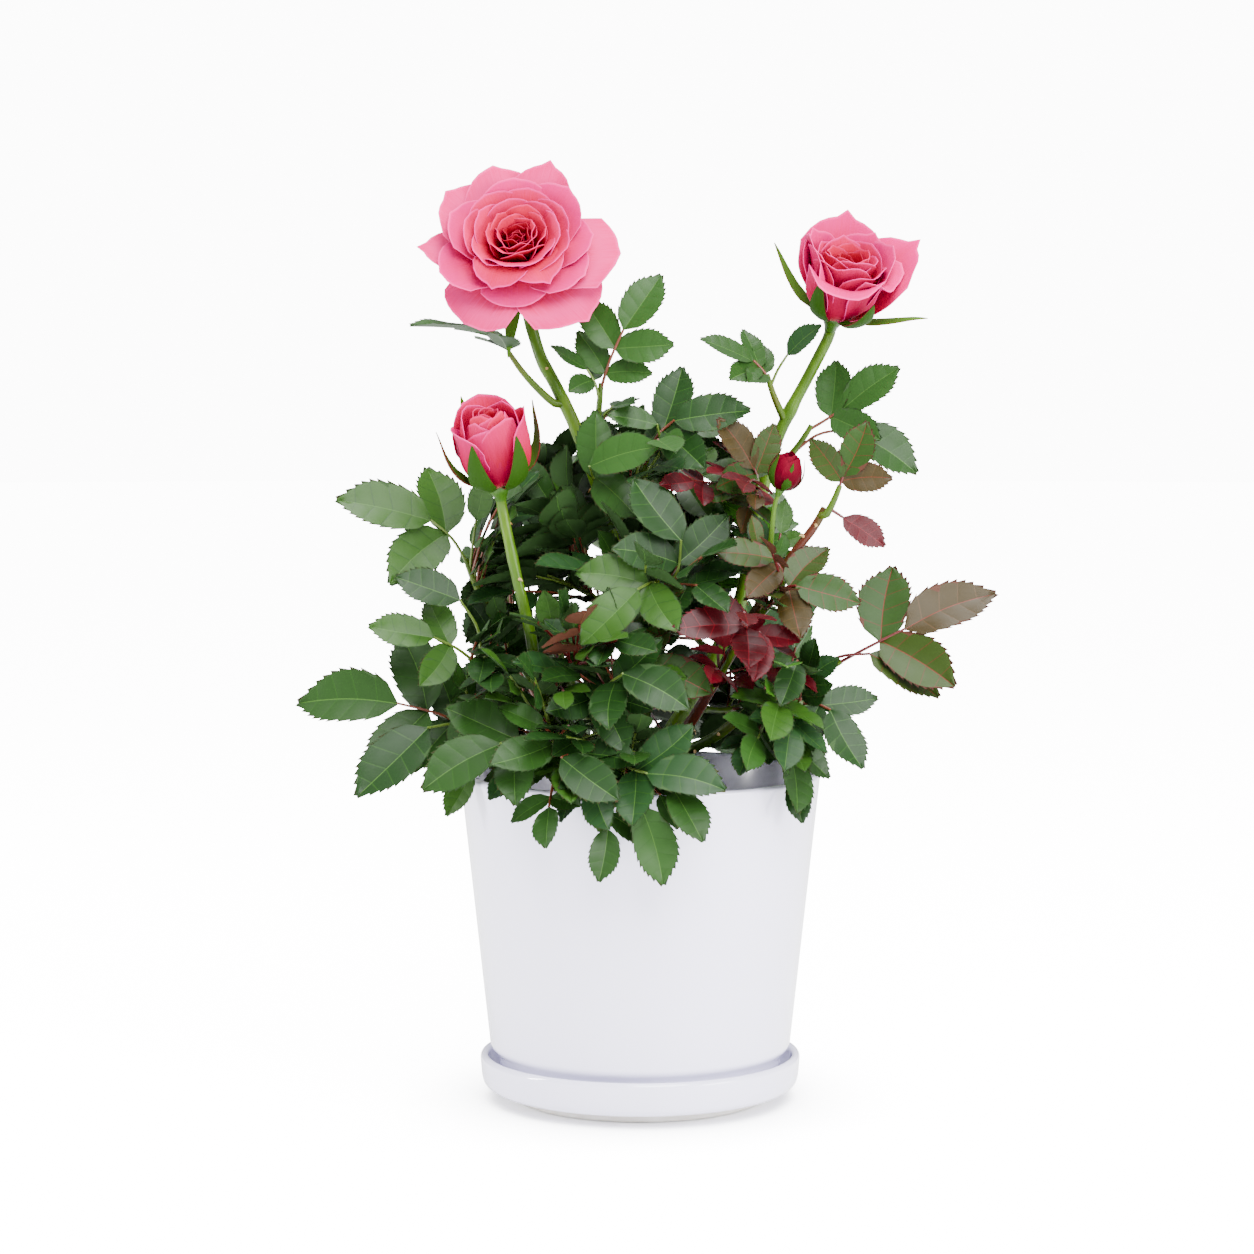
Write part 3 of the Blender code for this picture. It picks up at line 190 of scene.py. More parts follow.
# Each mass: its cane, the height where it leaves it, where its own stem ends, how many leaves the rule
# adds, their leaflet's length, the seed, and the listed leaves that show (fork of the leaf, tip of its
# end leaflet, leaflets, turn of the blade in degrees).
MASSES = {
    "foliage_under_open_bloom": (
        "cane_open_bloom", 252, (-47, -1, 269), 0, 24, 1,
        [((-54, -4, 277), (-81, -12, 281), 5, 55)],
    ),
    "foliage_above_centre": (
        "cane_open_bloom", 233, (-14, -2, 258), 0, 22, 2,
        [((-6, -8, 277), (7, -4, 297), 5, 0), ((-19, -5, 263), (-31, -8, 272), 3, 20)],
    ),
    "foliage_centre_high": (
        "cane_open_bloom", 207, (4, -8, 236), 2, 24, 3,
        [((12, -14, 245), (38, -20, 250), 3, 10), ((6, -14, 244), (-11, -18, 248), 1, 0),
         ((-18, -20, 229), (6, -28, 237), 3, 15)],
    ),
    "foliage_left_high": (
        "cane_left", 182, (-62, -14, 196), 1, 24, 4,
        [((-74, -20, 210), (-106, -26, 219), 3, 0), ((-58, -20, 210), (-55, -26, 224), 1, 0)],
    ),
    "foliage_left_middle": (
        "cane_left", 152, (-60, -30, 162), 2, 24, 5,
        [((-72, -38, 170), (-94, -42, 175), 3, 0), ((-63, -36, 183), (-85, -36, 192), 1, 0)],
    ),
    "foliage_left_low": (
        "cane_left", 133, (-62, -28, 138), 2, 27, 6,
        [((-85, -38, 147), (-121, -30, 148), 5, 0), ((-74, -44, 139), (-98, -60, 119), 1, 0)],
    ),
    "foliage_front_left": (
        "cane_bud", 130, (-34, -54, 137), 1, 24, 7,
        [((-48, -66, 136), (-74, -74, 122), 3, 0), ((-30, -66, 136), (-50, -80, 132), 1, 0),
         ((-33, -60, 141), (-48, -63, 149), 1, 0)],
    ),
    "foliage_front_low": (
        "cane_front", 134, (-6, -64, 128), 1, 22, 8,
        [((-27, -72, 132), (-8, -84, 120), 3, 0), ((2, -75, 127), (28, -84, 124), 3, 0),
         ((0, -77, 116), (8, -81, 90), 1, 0), ((-14, -72, 119), (-13, -76, 106), 1, 10)],
    ),
    "foliage_front_middle": (
        "cane_front", 128, (-10, -54, 150), 1, 24, 9,
        [((-16, -59, 152), (-5, -70, 134), 3, 0), ((-6, -68, 158), (16, -78, 148), 3, 0)],
    ),
    "foliage_side_shoot": (
        "cane_bud", 148, (-22, -47, 163), 1, 22, 10,
        [((2, -50, 162), (24, -58, 153), 3, 0)],
    ),
    "foliage_centre": (
        "cane_open_bloom", 158, (6, -32, 190), 3, 26, 11,
        [((-1, -54, 188), (-21, -64, 171), 3, 0), ((14, -40, 204), (-2, -34, 226), 3, 0)],
    ),
    "foliage_red_low": (
        "cane_red_shoot", 152, (35, -48, 174), 0, 20, 12,
        [((35, -57, 176), (11, -62, 176), 3, 10), ((40, -58, 175), (38, -69, 160), 3, 0)],
    ),
    "foliage_red_middle": (
        "cane_red_shoot", 178, (50, -42, 190), 0, 20, 13,
        [((46, -44, 198), (26, -48, 201), 3, 0), ((55, -44, 191), (77, -48, 186), 3, 0)],
    ),
    "foliage_red_top": (
        "cane_red_shoot", 214, (69, -40, 223), 0, 17, 14,
        [((70, -41, 226), (78, -42, 245), 3, 10), ((70, -42, 212), (84, -48, 203), 1, 0)],
    ),
    "foliage_red_left": (
        "cane_half_open_bloom", 216, (41, -14, 226), 0, 20, 15,
        [((40, -20, 228), (28, -22, 246), 3, 0), ((36, -24, 222), (22, -30, 219), 1, 0)],
    ),
    "foliage_under_half_open_bloom": (
        "cane_half_open_bloom", 246, (45, -8, 261), 0, 20, 16,
        [((40, -10, 266), (22, -14, 275), 5, 20), ((52, -10, 268), (63, -14, 279), 1, 0)],
    ),
    "foliage_right_high": (
        "cane_half_open_bloom", 228, (61, -4, 243), 0, 22, 17,
        [((72, -6, 249), (91, -10, 264), 3, 0), ((73, -9, 244), (98, -16, 230), 1, 0)],
    ),
    "foliage_far_right": (
        "cane_right", 157, (71, -21, 160), 0, 24, 18,
        [((93, -26, 172), (125, -22, 186), 3, 0), ((82, -26, 163), (106, -34, 150), 1, 0)],
    ),
    "foliage_right_low": (
        "cane_right", 146, (56, -36, 147), 2, 24, 19,
        [((66, -41, 145), (77, -53, 127), 3, 0), ((50, -44, 144), (61, -50, 135), 1, 0),
         ((54, -50, 163), (48, -60, 149), 1, 0)],
    ),
    "foliage_left_back": ("cane_left", 140, (-48, 22, 148), 5, 28, 20, []),
    "foliage_right_back": ("cane_right", 138, (48, 18, 146), 5, 28, 21, []),
    "foliage_back_left_low": ("cane_back_left", 140, (-46, 50, 144), 5, 28, 22, []),
    "foliage_back_left_middle": ("cane_back_left", 166, (-54, 20, 184), 4, 27, 23, []),
    "foliage_back_left_high": ("cane_back_left", 194, (-36, 36, 210), 4, 26, 24, []),
    "foliage_back_low": ("cane_back", 142, (4, 62, 138), 5, 28, 25, []),
    "foliage_back_high": ("cane_back", 190, (-2, 52, 206), 3, 27, 26, []),
    "foliage_back_right_low": ("cane_back_right", 140, (46, 52, 142), 5, 28, 27, []),
    "foliage_back_right_high": ("cane_back_right", 194, (40, 38, 210), 3, 26, 28, []),
    "foliage_inner_left": ("cane_open_bloom", 176, (-30, 2, 196), 5, 26, 29, []),
    "foliage_inner_back": ("cane_open_bloom", 222, (-10, 28, 240), 4, 25, 30, []),
    "foliage_inner_right": ("cane_half_open_bloom", 188, (46, 14, 196), 4, 26, 31, []),
    "foliage_inner_middle": ("cane_half_open_bloom", 160, (12, 22, 178), 5, 26, 32, []),
}

# Each bloom: the place its hip stands on, the way it faces, the turn of its first sepal in degrees, the
# profile of the room it takes (radius, height above the hip's foot), the way its sepals stand (degrees
# from the axis), a sepal's length, and the size of it all for those lengths. Leaves keep clear of that
# room and of those sepals.
OPEN_ROOM = [(0, 0), (4.5, 0), (4.5, 5), (37, 8), (39, 14), (30, 26), (15, 28), (0, 28)]
HALF_OPEN_ROOM = [(0, 0), (4.5, 0), (4.5, 5), (15, 11), (22, 20), (27, 31), (24, 37), (0, 37)]
BUD_ROOM = [(0, 0), (4.5, 0), (4.5, 5), (10, 9), (13.5, 16), (13, 24), (10, 32), (0, 34)]
BLOOMS = {
    "bloom_open": ((-42.6, 3.3, 296.4), (-0.05, -0.77, 0.63), 20, OPEN_ROOM, 115, 23, 1.0),
    "bloom_half_open": ((67.9, 1.0, 277.4), (0.20, -0.46, 0.86), 0, HALF_OPEN_ROOM, 80, 21, 1.0),
    "bloom_bud": ((-48.3, -46.4, 218.9), (-0.12, -0.36, 0.92), 40, BUD_ROOM, 37, 22, 1.0),
    "bud_closed": ((47.6, -39.0, 219.4), (0.28, -0.16, 0.92), 10, BUD_ROOM, 16, 20, 0.45),
}
BEARERS = {
    "cane_open_bloom": "bloom_open",
    "cane_half_open_bloom": "bloom_half_open",
    "cane_bud": "bloom_bud",
}
NECK = 4.0  # the last straight stretch of a cane under its bloom
BUD_STALK_HEIGHT = 190.0  # where the closed bud's stalk leaves its cane
BUD_STALK_RADII = (1.3, 0.85)
SEPAL_RATIO = 0.26
SEPAL_RADIUS = 2.4  # from the hip's axis to a sepal's root
SEPAL_HEIGHT = 5.2  # of that root above the hip's foot

# The finer leaves, small ones by the same rule
TO_BACK = Vector((0.0, 1.0, 0.0))
FRONT_REACH = 84.0  # as far to the front as the large leaves reach
FINER_SEED = 1000
FINER_TRIES = 60
FINER_SHARES = (0.15, 1.0)  # of the stem, where a stalk starts
FINER_ANGLE_SPREAD = 0.4
FINER_SPREAD = (0.3, 1.6)  # how far a leaf leans from its stem
FINER_OUTWARD = 0.2
FINER_SIZES = (0.55, 0.85)  # of a leaflet for its mass's leaflet length
FINER_STALKS = (0.8, 2.2)
FINER_DROOPS = (0.1, 0.7)
FINER_FACE_OUT = 0.4
FINER_FACE_FRONT = 0.5
FINER_COUNTS = (3, 3, 5)  # leaflets, drawn from these
FINER_FOOT = 0.05  # of a leaflet, next to its stalk, that isn't tested
FINER_GAP = 0.1


def arc(centre, radius, start, end, steps):
    """Places on an arc in the turning plane, from one angle to the other in degrees."""
    angles = [radians(start + (end - start) * k / steps) for k in range(steps + 1)]
    return [(centre[0] + radius * cos(a), centre[1] + radius * sin(a)) for a in angles]


def turned_solid(profile, sides):
    """A closed profile of (radius, height) spun round the Z axis, with one vertex where it meets the axis:
    its vertices and faces."""
    verts, rings, faces = [], [], []
    for radius, height in profile:
        around = sides if radius > 0 else 1
        rings.append(list(range(len(verts), len(verts) + around)))
        for k in range(around):
            a = tau * k / sides
            verts.append(Vector((radius * cos(a), radius * sin(a), height)))
    for low, high in zip(rings, rings[1:]):
        for k in range(sides):
            n = (k + 1) % sides
            corners = [low[k % len(low)], low[n % len(low)], high[n % len(high)], high[k % len(high)]]
            corners = tuple(dict.fromkeys(corners))
            if len(corners) > 2:
                faces.append(corners)
    return verts, faces


def saucer_profile():
    outer, rim = SAUCER_RADIUS, SAUCER_HEIGHT
    inner = outer - SAUCER_WALL
    return [
        (0.0, 0.0),
        (FOOT_RADIUS - 0.4, 0.0),
        (FOOT_RADIUS + 0.3, FOOT_HEIGHT),
        (outer - 3.4, FOOT_HEIGHT + 0.5),
        (outer - 1.2, FOOT_HEIGHT + 2.2),
        (outer - 0.5, FOOT_HEIGHT + 5.0),
        (outer, rim - 2.0),
        *arc((outer - SAUCER_WALL / 2, rim - SAUCER_WALL / 2), SAUCER_WALL / 2, 10, 170, 4),
        (inner, rim - 2.6),
        (inner - 0.3, SAUCER_FLOOR + 5.2),
        (inner - 1.6, SAUCER_FLOOR + 2.4),
        (inner - 4.6, SAUCER_FLOOR + 0.3),
        (inner - 7.0, SAUCER_FLOOR),
        (0.0, SAUCER_FLOOR),
    ]


def pot_radius(height):
    """Outer radius of the pot's straight wall at a height."""
    share = (height - POT_SHOULDER) / (POT_HEIGHT - POT_SHOULDER)
    return POT_SHOULDER_RADIUS + (POT_RIM_RADIUS - POT_SHOULDER_RADIUS) * share


def pot_profile():
    base = SAUCER_FLOOR + CLEAR
    inside = base + POT_FLOOR
    lip = POT_WALL / 2
    return [
        (0.0, base),
        (POT_BASE_RADIUS, base),
        (POT_BASE_RADIUS + 3.6, base + 0.9),
        (POT_BASE_RADIUS + 7.0, base + 3.6),
        (POT_SHOULDER_RADIUS - 1.0, base + 7.6),
        (POT_SHOULDER_RADIUS, POT_SHOULDER),
        (pot_radius(POT_HEIGHT - lip), POT_HEIGHT - lip),
        *arc((POT_RIM_RADIUS - lip, POT_HEIGHT - lip), lip, 30, 180, 5),
        (pot_radius(inside + 6) - POT_WALL, inside + 6),
        (pot_radius(inside + 6) - POT_WALL - 6, inside),
        (0.0, inside),
    ]


def soil_profile():
    low = SAUCER_FLOOR + POT_FLOOR + 2 * CLEAR
    wall = POT_WALL + CLEAR
    return [
        (0.0, low),
        (pot_radius(low + 6) - wall - 6.4, low),
        (pot_radius(low + 6) - wall - 0.3, low + 6.4),
        (pot_radius(SOIL_TOP) - wall - 0.1, SOIL_TOP - SOIL_CROWN),
        (0.72 * POT_SHOULDER_RADIUS, SOIL_TOP - 0.6),
        (KNUCKLE_RADIUS + 2.0, SOIL_TOP),
        (0.0, SOIL_TOP),
    ]


def knuckle_profile():
    low, high = SOIL_TOP + CLEAR, SOIL_TOP + KNUCKLE_HEIGHT
    return [
        (0.0, low),
        (0.75 * KNUCKLE_RADIUS, low),
        (0.95 * KNUCKLE_RADIUS, low + 0.35 * KNUCKLE_HEIGHT),
        (KNUCKLE_RADIUS, low + 0.75 * KNUCKLE_HEIGHT),
        (0.96 * KNUCKLE_RADIUS, high),
        (0.0, high),
    ]


def smooth_path(places, step):
    """Evenly spaced places on a smooth curve through the given ones."""
    ends = [places[0] * 2 - places[1], *places, places[-1] * 2 - places[-2]]
    path = []
    for a, b, c, d in zip(ends, ends[1:], ends[2:], ends[3:]):
        count = max(1, round((c - b).length / step))
        for k in range(count):
            t = k / count
            path.append(
                0.5 * ((2 * b) + (c - a) * t + (2 * a - 5 * b + 4 * c - d) * t * t
                       + (3 * b - a - 3 * c + d) * t * t * t)
            )
    path.append(places[-1])
    return path


def directions(path):
    """The heading at each place of a path."""
    out = []
    for k in range(len(path)):
        before = path[max(0, k - 1)]
        after = path[min(len(path) - 1, k + 1)]
        out.append((after - before).normalized())
    return out


def side_of(direction):
    """A unit vector square to a direction."""
    other = Vector((1.0, 0.0, 0.0)) if abs(direction.x) < 0.8 else Vector((0.0, 1.0, 0.0))
    return direction.cross(other).normalized()


def tube(path, radii, sides):
    """A closed tapering tube along a path: its vertices and faces."""
    heads = directions(path)
    side = side_of(heads[0])
    verts, faces = [], []
    for place, head, radius in zip(path, heads, radii):
        side = (side - head * side.dot(head)).normalized()
        across = head.cross(side)
        for k in range(sides):
            a = tau * k / sides
            verts.append(place + radius * (cos(a) * side + sin(a) * across))
    for ring in range(len(path) - 1):
        for k in range(sides):
            n = (k + 1) % sides
            low = ring * sides
            faces.append((low + k, low + n, low + sides + n, low + sides + k))
    faces.append(tuple(range(sides))[::-1])
    faces.append(tuple(range(len(verts) - sides, len(verts))))
    return verts, faces


def tapered(path, first, last):
    """The radius at each place of a path, evenly from the first to the last."""
    count = len(path) - 1
    return [first + (last - first) * k / count for k in range(count + 1)]


def along(path, share):
    """The place at a share of a path's length, and the heading there."""
    lengths = [(b - a).length for a, b in zip(path, path[1:])]
    left = max(0.0, min(1.0, share)) * sum(lengths)
    for a, b, length in zip(path, path[1:], lengths):
        if left <= length:
            return a.lerp(b, left / length), (b - a).normalized()
        left -= length
    return path[-1].copy(), (path[-1] - path[-2]).normalized()


def at_height(path, height):
    """The place where a rising path reaches a height, and the heading there."""
    for a, b in zip(path, path[1:]):
        if a.z <= height <= b.z:
            return a.lerp(b, (height - a.z) / (b.z - a.z)), (b - a).normalized()
    return path[-1].copy(), (path[-1] - path[-2]).normalized()


def bent(start, end, arrival, steps):
    """A path from start to end that arrives in a direction."""
    middle = end - arrival * (0.5 * (end - start).length)
    path = []
    for k in range(steps + 1):
        t = k / steps
        path.append(start.lerp(middle, t).lerp(middle.lerp(end, t), t))
    return path


def blade_corners(root, tip, normal, grow=0.0, ratio=BLADE_RATIO):
    """A folded blade's root, right edge, tip, left edge, and its thickest place above and below."""
    length = (tip - root).length
    head = (tip - root).normalized()
    normal = (normal - head * normal.dot(head)).normalized()
    across = head.cross(normal)
    half = 0.5 * ratio * length
    thick = 0.5 * BLADE_THICK + grow

    def place(share, side, rise):
        drop = BLADE_DROOP * length * share * share
        return root + head * (share * length) + across * side + normal * (rise - drop)

    return [
        place(0.0, 0.0, 0.0),
        place(BLADE_WIDEST, half + grow, BLADE_FOLD * half),
        place(1.0, 0.0, 0.0),
        place(BLADE_WIDEST, -half - grow, BLADE_FOLD * half),
        place(BLADE_THICKEST, 0.0, thick),
        place(BLADE_THICKEST, 0.0, -thick),
    ]


def leaflet(root, tip, normal, grow=0.0, ratio=BLADE_RATIO):
    """A folded blade with a pointed tip: its vertices and faces. grow thickens it all over, for the test
    of what it would touch."""
    verts = blade_corners(root, tip, normal, grow, ratio)
    faces = []
    for k in range(4):
        n = (k + 1) % 4
        faces.append((k, n, 4))
        faces.append((n, k, 5))
    return verts, faces


def stalk_with_blade(stalk, tip, normal):
    """A three-sided stalk that runs on into its end leaflet: its vertices and faces."""
    verts = []
    for place, head, radius in zip(stalk, directions(stalk), tapered(stalk, STALK_RADIUS, STALK_TIP)):
        top = (normal - head * normal.dot(head)).normalized()
        across = head.cross(top)
        for angle in (0, 120, 240):
            a = radians(angle)
            verts.append(place + radius * (cos(a) * top - sin(a) * across))
    faces = [(2, 1, 0)]
    for low in range(0, len(verts) - 3, 3):
        for k in range(3):
            n = (k + 1) % 3
            faces.append((low + k, low + n, low + 3 + n, low + 3 + k))
    up, left, right = range(len(verts) - 3, len(verts))
    first = len(verts)
    _, *corners = blade_corners(stalk[-1], tip, normal)
    verts += corners
    edge, end, other, above, below = range(first, first + 5)
    faces += [(up, left, other), (up, other, above), (up, above, edge), (up, edge, right)]
    faces += [(left, right, below), (left, below, other), (right, edge, below)]
    faces += [(above, other, end), (edge, above, end), (other, below, end), (below, edge, end)]
    return verts, faces


def compound_leaf(base, fork, tip, normal, leaflets, spare):
    """The stalk of one leaf and its leaflets, the end one first. Each is (root, tip, normal, side)."""
    head = (tip - fork).normalized()
    length = (tip - fork).length
    run = fork - base
    arrival = (head + run.normalized()).normalized()
    stalk = bent(base, fork, arrival, 2)
    blades = [(fork, tip, normal, 0)]
    reach = run.length
    for for_length, for_stalk, share in SIDE_PAIRS[: (leaflets - 1) // 2]:
        back = min(for_length * length, for_stalk * reach)
        root, heading = along(stalk, 1.0 - back / max(reach, 1e-6))
        mean = (heading + head).normalized()
        for side in (-1, 1):
            angle = radians(SIDE_ANGLE + SIDE_ANGLE_SPREAD * (spare.random() - 0.5))
            tilt = SIDE_TILT_SPREAD * (spare.random() - 0.5)
            square = mean.cross(normal).normalized() * side
            out = (cos(angle) * mean + sin(angle) * square + tilt * normal).normalized()
            size = share * length * (1 + SIDE_SIZE_SPREAD * (spare.random() - 0.5))
            face = (normal + SIDE_CUP * out).normalized()
            blades.append((root - out * SINK, root + out * size, face, side))
    return stalk, blades


def facing(head, turn):
    """A blade's normal: towards the viewer and up, square to its heading, then turned about it."""
    normal = VIEWER - head * VIEWER.dot(head)
    if normal.length < EDGE_ON:
        normal = UP - head * UP.dot(head)
    return Matrix.Rotation(radians(turn), 3, head) @ normal.normalized()


def sepal(azimuth, lean, length):
    """One narrow pointed sepal from the top of the hip, as a folded blade."""
    ca, sa = cos(azimuth), sin(azimuth)
    out = Vector((ca, sa, 0.0))
    root = out * SEPAL_RADIUS + UP * SEPAL_HEIGHT
    lean = radians(lean)
    tip = root + (sin(lean) * out + cos(lean) * UP) * length
    face = UP - out
    return leaflet(root, tip, face, ratio=SEPAL_RATIO)


def sepals(turn, lean, length):
    return [sepal(radians(turn) + tau * k / 5, lean, length) for k in range(5)]


def bloom_room(row):
    """The solids that new leaves keep clear of at a bloom: one round its petals, and its sepals."""
    base, axis, turn, room, lean, sepal_length, size = row
    solids = [turned_solid(room, ROOM_SIDES), *sepals(turn, lean, sepal_length)]
    place = bloom_frame(base, axis, size)
    return [([place @ v for v in verts], faces) for verts, faces in solids]


def bloom_frame(base, axis, size):
    """The frame that takes +Z to a bloom's axis and the origin to the foot of its hip."""
    turned_up = Vector(axis).normalized().to_track_quat("Z", "Y").to_matrix().to_4x4()
    return Matrix.Translation(Vector(base)) @ turned_up @ Matrix.Scale(size, 4)


def limits(verts):
    """The least and most of each axis over some places."""
    return [Vector([pick(v[i] for v in verts) for i in range(3)]) for pick in (min, max)]


class Space:
    """What is placed so far, to keep new leaves clear of it."""

    def __init__(self):
        self.held = []

    def add(self, owner, solid):
        verts, faces = solid
        low, high = limits(verts)
        self.held.append((owner, BVHTree.FromPolygons(verts, faces), low, high))

    def is_clear(self, solid, besides=()):
        verts, faces = solid
        low, high = limits(verts)
        tree = None
        for owner, other, least, most in self.held:
            if owner in besides or any(high[i] < least[i] or low[i] > most[i] for i in range(3)):
                continue
            tree = tree or BVHTree.FromPolygons(verts, faces)
            if tree.overlap(other):
                return False
        return True


def in_crown(place):
    offset = place - CROWN_MIDDLE
    return sum((offset[i] / CROWN_REACH[i]) ** 2 for i in range(3)) < 1.0


def above_soil(place):
    over_pot = hypot(place.x, place.y) < POT_RIM_RADIUS + RIM_GAP
    return place.z > (SOIL_TOP + SOIL_GAP if over_pot else LOWEST_LEAF)


class Mass:
    """One mass of foliage: a stem, the stalks of its leaves and their blades."""

    def __init__(self, name, row, canes, space):
        cane, height, end, self.wanted, self.size, seed, self.shown = row
        self.name = name
        self.rng = random.Random(seed)
        self.space = space
        self.leaves = []
        self.finer = random.Random(FINER_SEED + seed)
        self.grow_stem(canes[cane], height, Vector(end))

    def grow_stem(self, cane, height, goal):
        """The stem starts as near its cane as the gap allows. Where something is in the way, it starts a
        little higher or lower and ends a little to one side."""
        for attempt in range(STEM_TRIES):
            slack = STEM_SLACK * attempt
            end = goal + Vector([self.rng.uniform(-1, 1) for _ in range(3)]) * slack
            place, heading = at_height(cane.path, height + self.rng.uniform(-1, 1) * slack)
            out = (end - place).normalized()
            aside = (out - heading * out.dot(heading)).normalized()
            for k in range(STEM_STEPS):
                start = place + aside * (STEM_START + STEM_STEP * k)
                arrival = (end - start).normalized().lerp(UP, LIFT).normalized()
                self.stem = bent(start, end, arrival, STEM_BEND)
                grown = drawn_back(self.stem, SHOOT_RADIUS + 2 * CLEAR, SHOOT_TIP + 2 * CLEAR, 3)
                if self.space.is_clear(grown) and all(above_soil(p) for p in self.stem):
                    self.inside = place - heading * STEM_INSIDE
                    solid = tube(self.stem, tapered(self.stem, SHOOT_RADIUS, SHOOT_TIP), 3)
                    self.space.add((self.name, "stem"), solid)
                    return
        raise RuntimeError(self.name + " has no room for its stem")

    def add_leaf(self, base, fork, tip, normal, count, inside):
        """Adds the leaf if its stalk and end leaflet fit, leaving out side leaflets that don't. With
        inside, blades that would leave the crown don't fit."""
        stalk, blades = compound_leaf(base, fork, tip, normal, count, self.rng)
        owner = (self.name, len(self.leaves))
        test = tube(stalk[1:], tapered(stalk[1:], STALK_RADIUS + CLEAR, STALK_TIP + CLEAR), TEST_SIDES)
        if not self.space.is_clear(test) or not all(above_soil(p) for p in stalk):
            return False
        test = tube(stalk, tapered(stalk, STALK_RADIUS + CLEAR, STALK_TIP + CLEAR), TEST_SIDES)
        if not self.space.is_clear(test, [(self.name, "stem")]):
            return False
        kept = []
        for blade in blades:
            root, end, face, side = blade
            solid = leaflet(root, end, face, CLEAR + FACE_MARGIN)
            fits = self.space.is_clear(solid, [owner]) and all(above_soil(v) for v in solid[0])
            if inside and fits:
                fits = all(in_crown(v) for v in solid[0])
            if fits:
                kept.append(blade)
            elif side == 0:
                return False
        main = stalk_with_blade(stalk, tip, normal)
        self.space.add(owner, main)
        for root, end, face, _ in kept[1:]:
            self.space.add((self.name, "blade"), leaflet(root, end, face))
        self.leaves.append((stalk, kept))
        return True

    def shown_leaf(self, fork, tip, count, turn):
        """A leaf at a place that shows. Its foot is tried further and further down the stem, and then
        small shifts of the whole leaf."""
        marks = range(STEM_MARKS + 1)
        nearest = min(marks, key=lambda k: (along(self.stem, k / STEM_MARKS)[0] - fork).length)
        first = min(LAST_SHARE, max(SHOWN_NEAR, nearest / STEM_MARKS - SHOWN_BACK))
        head = (tip - fork).normalized()
        for attempt in range(SHOWN_TRIES):
            shifted, start = divmod(attempt, SHOWN_SHARES)
            base = along(self.stem, max(SHOWN_NEAREST, first - SHOWN_STEP * start))[0]
            shift = Vector([self.rng.uniform(-1, 1) for _ in range(3)]) * (SHOWN_SHIFT * shifted)
            normal = facing(head, turn + self.rng.uniform(-1, 1) * (SHOWN_TURN * shifted))
            if self.add_leaf(base, fork + shift, tip + shift, normal, count, False):
                return

    def bearings(self):
        """The way outwards from the plant's middle, and two ways square to the stem and to each other."""
        heading = (self.stem[-1] - self.stem[0]).normalized()
        outward = Vector((self.stem[-1].x, self.stem[-1].y, 0.0)).normalized()
        side = side_of(heading)
        return outward, side, heading.cross(side)

    def extra_leaves(self):
        """Leaves by the seeded rule: they leave the stem round it by the golden angle."""
        outward, side, across = self.bearings()
        grown, attempt = 0, 0
        while grown < self.wanted and attempt < TRIES * self.wanted:
            attempt += 1
            at_end = grown == 0 and attempt <= END_TRIES
            share = LAST_SHARE if at_end else self.rng.uniform(FIRST_SHARE, SIDE_SHARE)
            base, head = along(self.stem, share)
            angle = attempt * GOLDEN_ANGLE + self.rng.uniform(-ANGLE_SPREAD, ANGLE_SPREAD)
            ring = cos(angle) * side + sin(angle) * across
            spread = self.rng.uniform(*(END_SPREAD if at_end else LEAF_SPREAD))
            out = (head + spread * ring + LIFT * (UP + outward)).normalized()
            length = self.size * self.rng.uniform(*SIZES)
            count = 5 if self.rng.random() < FIVE_SHARE else 3
            fork = base + out * (length * self.rng.uniform(*STALKS))
            drooped = (out - UP * self.rng.uniform(*DROOPS)).normalized()
            tip = fork + drooped * length
            spare = Vector([self.rng.uniform(-1, 1) for _ in range(3)])
            normal = UP + FACE_OUT * outward + FACE_SPREAD * spare
            normal = (normal - drooped * normal.dot(drooped)).normalized()
            if self.add_leaf(base, fork, tip, normal, count, True):
                grown += 1

    def finer_leaves(self, wanted):
        """Carries the same rule to smaller leaves, which fill the crown between the large ones."""
        outward, side, across = self.bearings()
        rng = self.finer
        grown = 0
        for attempt in range(FINER_TRIES * wanted):
            if grown == wanted:
                return
            base, head = along(self.stem, rng.uniform(*FINER_SHARES))
            angle = attempt * GOLDEN_ANGLE + rng.uniform(-FINER_ANGLE_SPREAD, FINER_ANGLE_SPREAD)
            ring = cos(angle) * side + sin(angle) * across
            spread = rng.uniform(*FINER_SPREAD)
            out = (head + spread * ring + LIFT * UP + FINER_OUTWARD * outward).normalized()
            length = self.size * rng.uniform(*FINER_SIZES)
            fork = base + out * (length * rng.uniform(*FINER_STALKS))
            drooped = (out - Vector((0, 0, rng.uniform(*FINER_DROOPS)))).normalized()
            tip = fork + drooped * length
            spare = Vector([rng.uniform(-1, 1) for _ in range(3)])
            normal = UP + FINER_FACE_OUT * outward - FINER_FACE_FRONT * TO_BACK + FACE_SPREAD * spare
            normal = (normal - drooped * normal.dot(drooped)).normalized()
            stalk, blades = compound_leaf(base, fork, tip, normal, rng.choice(FINER_COUNTS), rng)
            if not all(above_soil(p) and in_crown(p) and p.y > -FRONT_REACH for p in stalk):
                continue
            test = tube(stalk[1:], tapered(stalk[1:], STALK_RADIUS, STALK_TIP), 3)
            if not self.space.is_clear(test):
                continue
            kept = []
            for blade in blades:
                root, end, face, edge = blade
                solid = leaflet(root.lerp(end, FINER_FOOT), end, face, FINER_GAP)
                fits = all(above_soil(v) and in_crown(v) and v.y > -FRONT_REACH for v in solid[0])
                if fits and self.space.is_clear(solid):
                    kept.append(blade)
                elif edge == 0:
                    break
            if not kept:
                continue
            for root, end, face, _ in kept:
                self.space.add((self.name, "finer"), leaflet(root, end, face))
            self.space.add((self.name, "finer"), test)
            self.leaves.append((stalk, kept))
            grown += 1


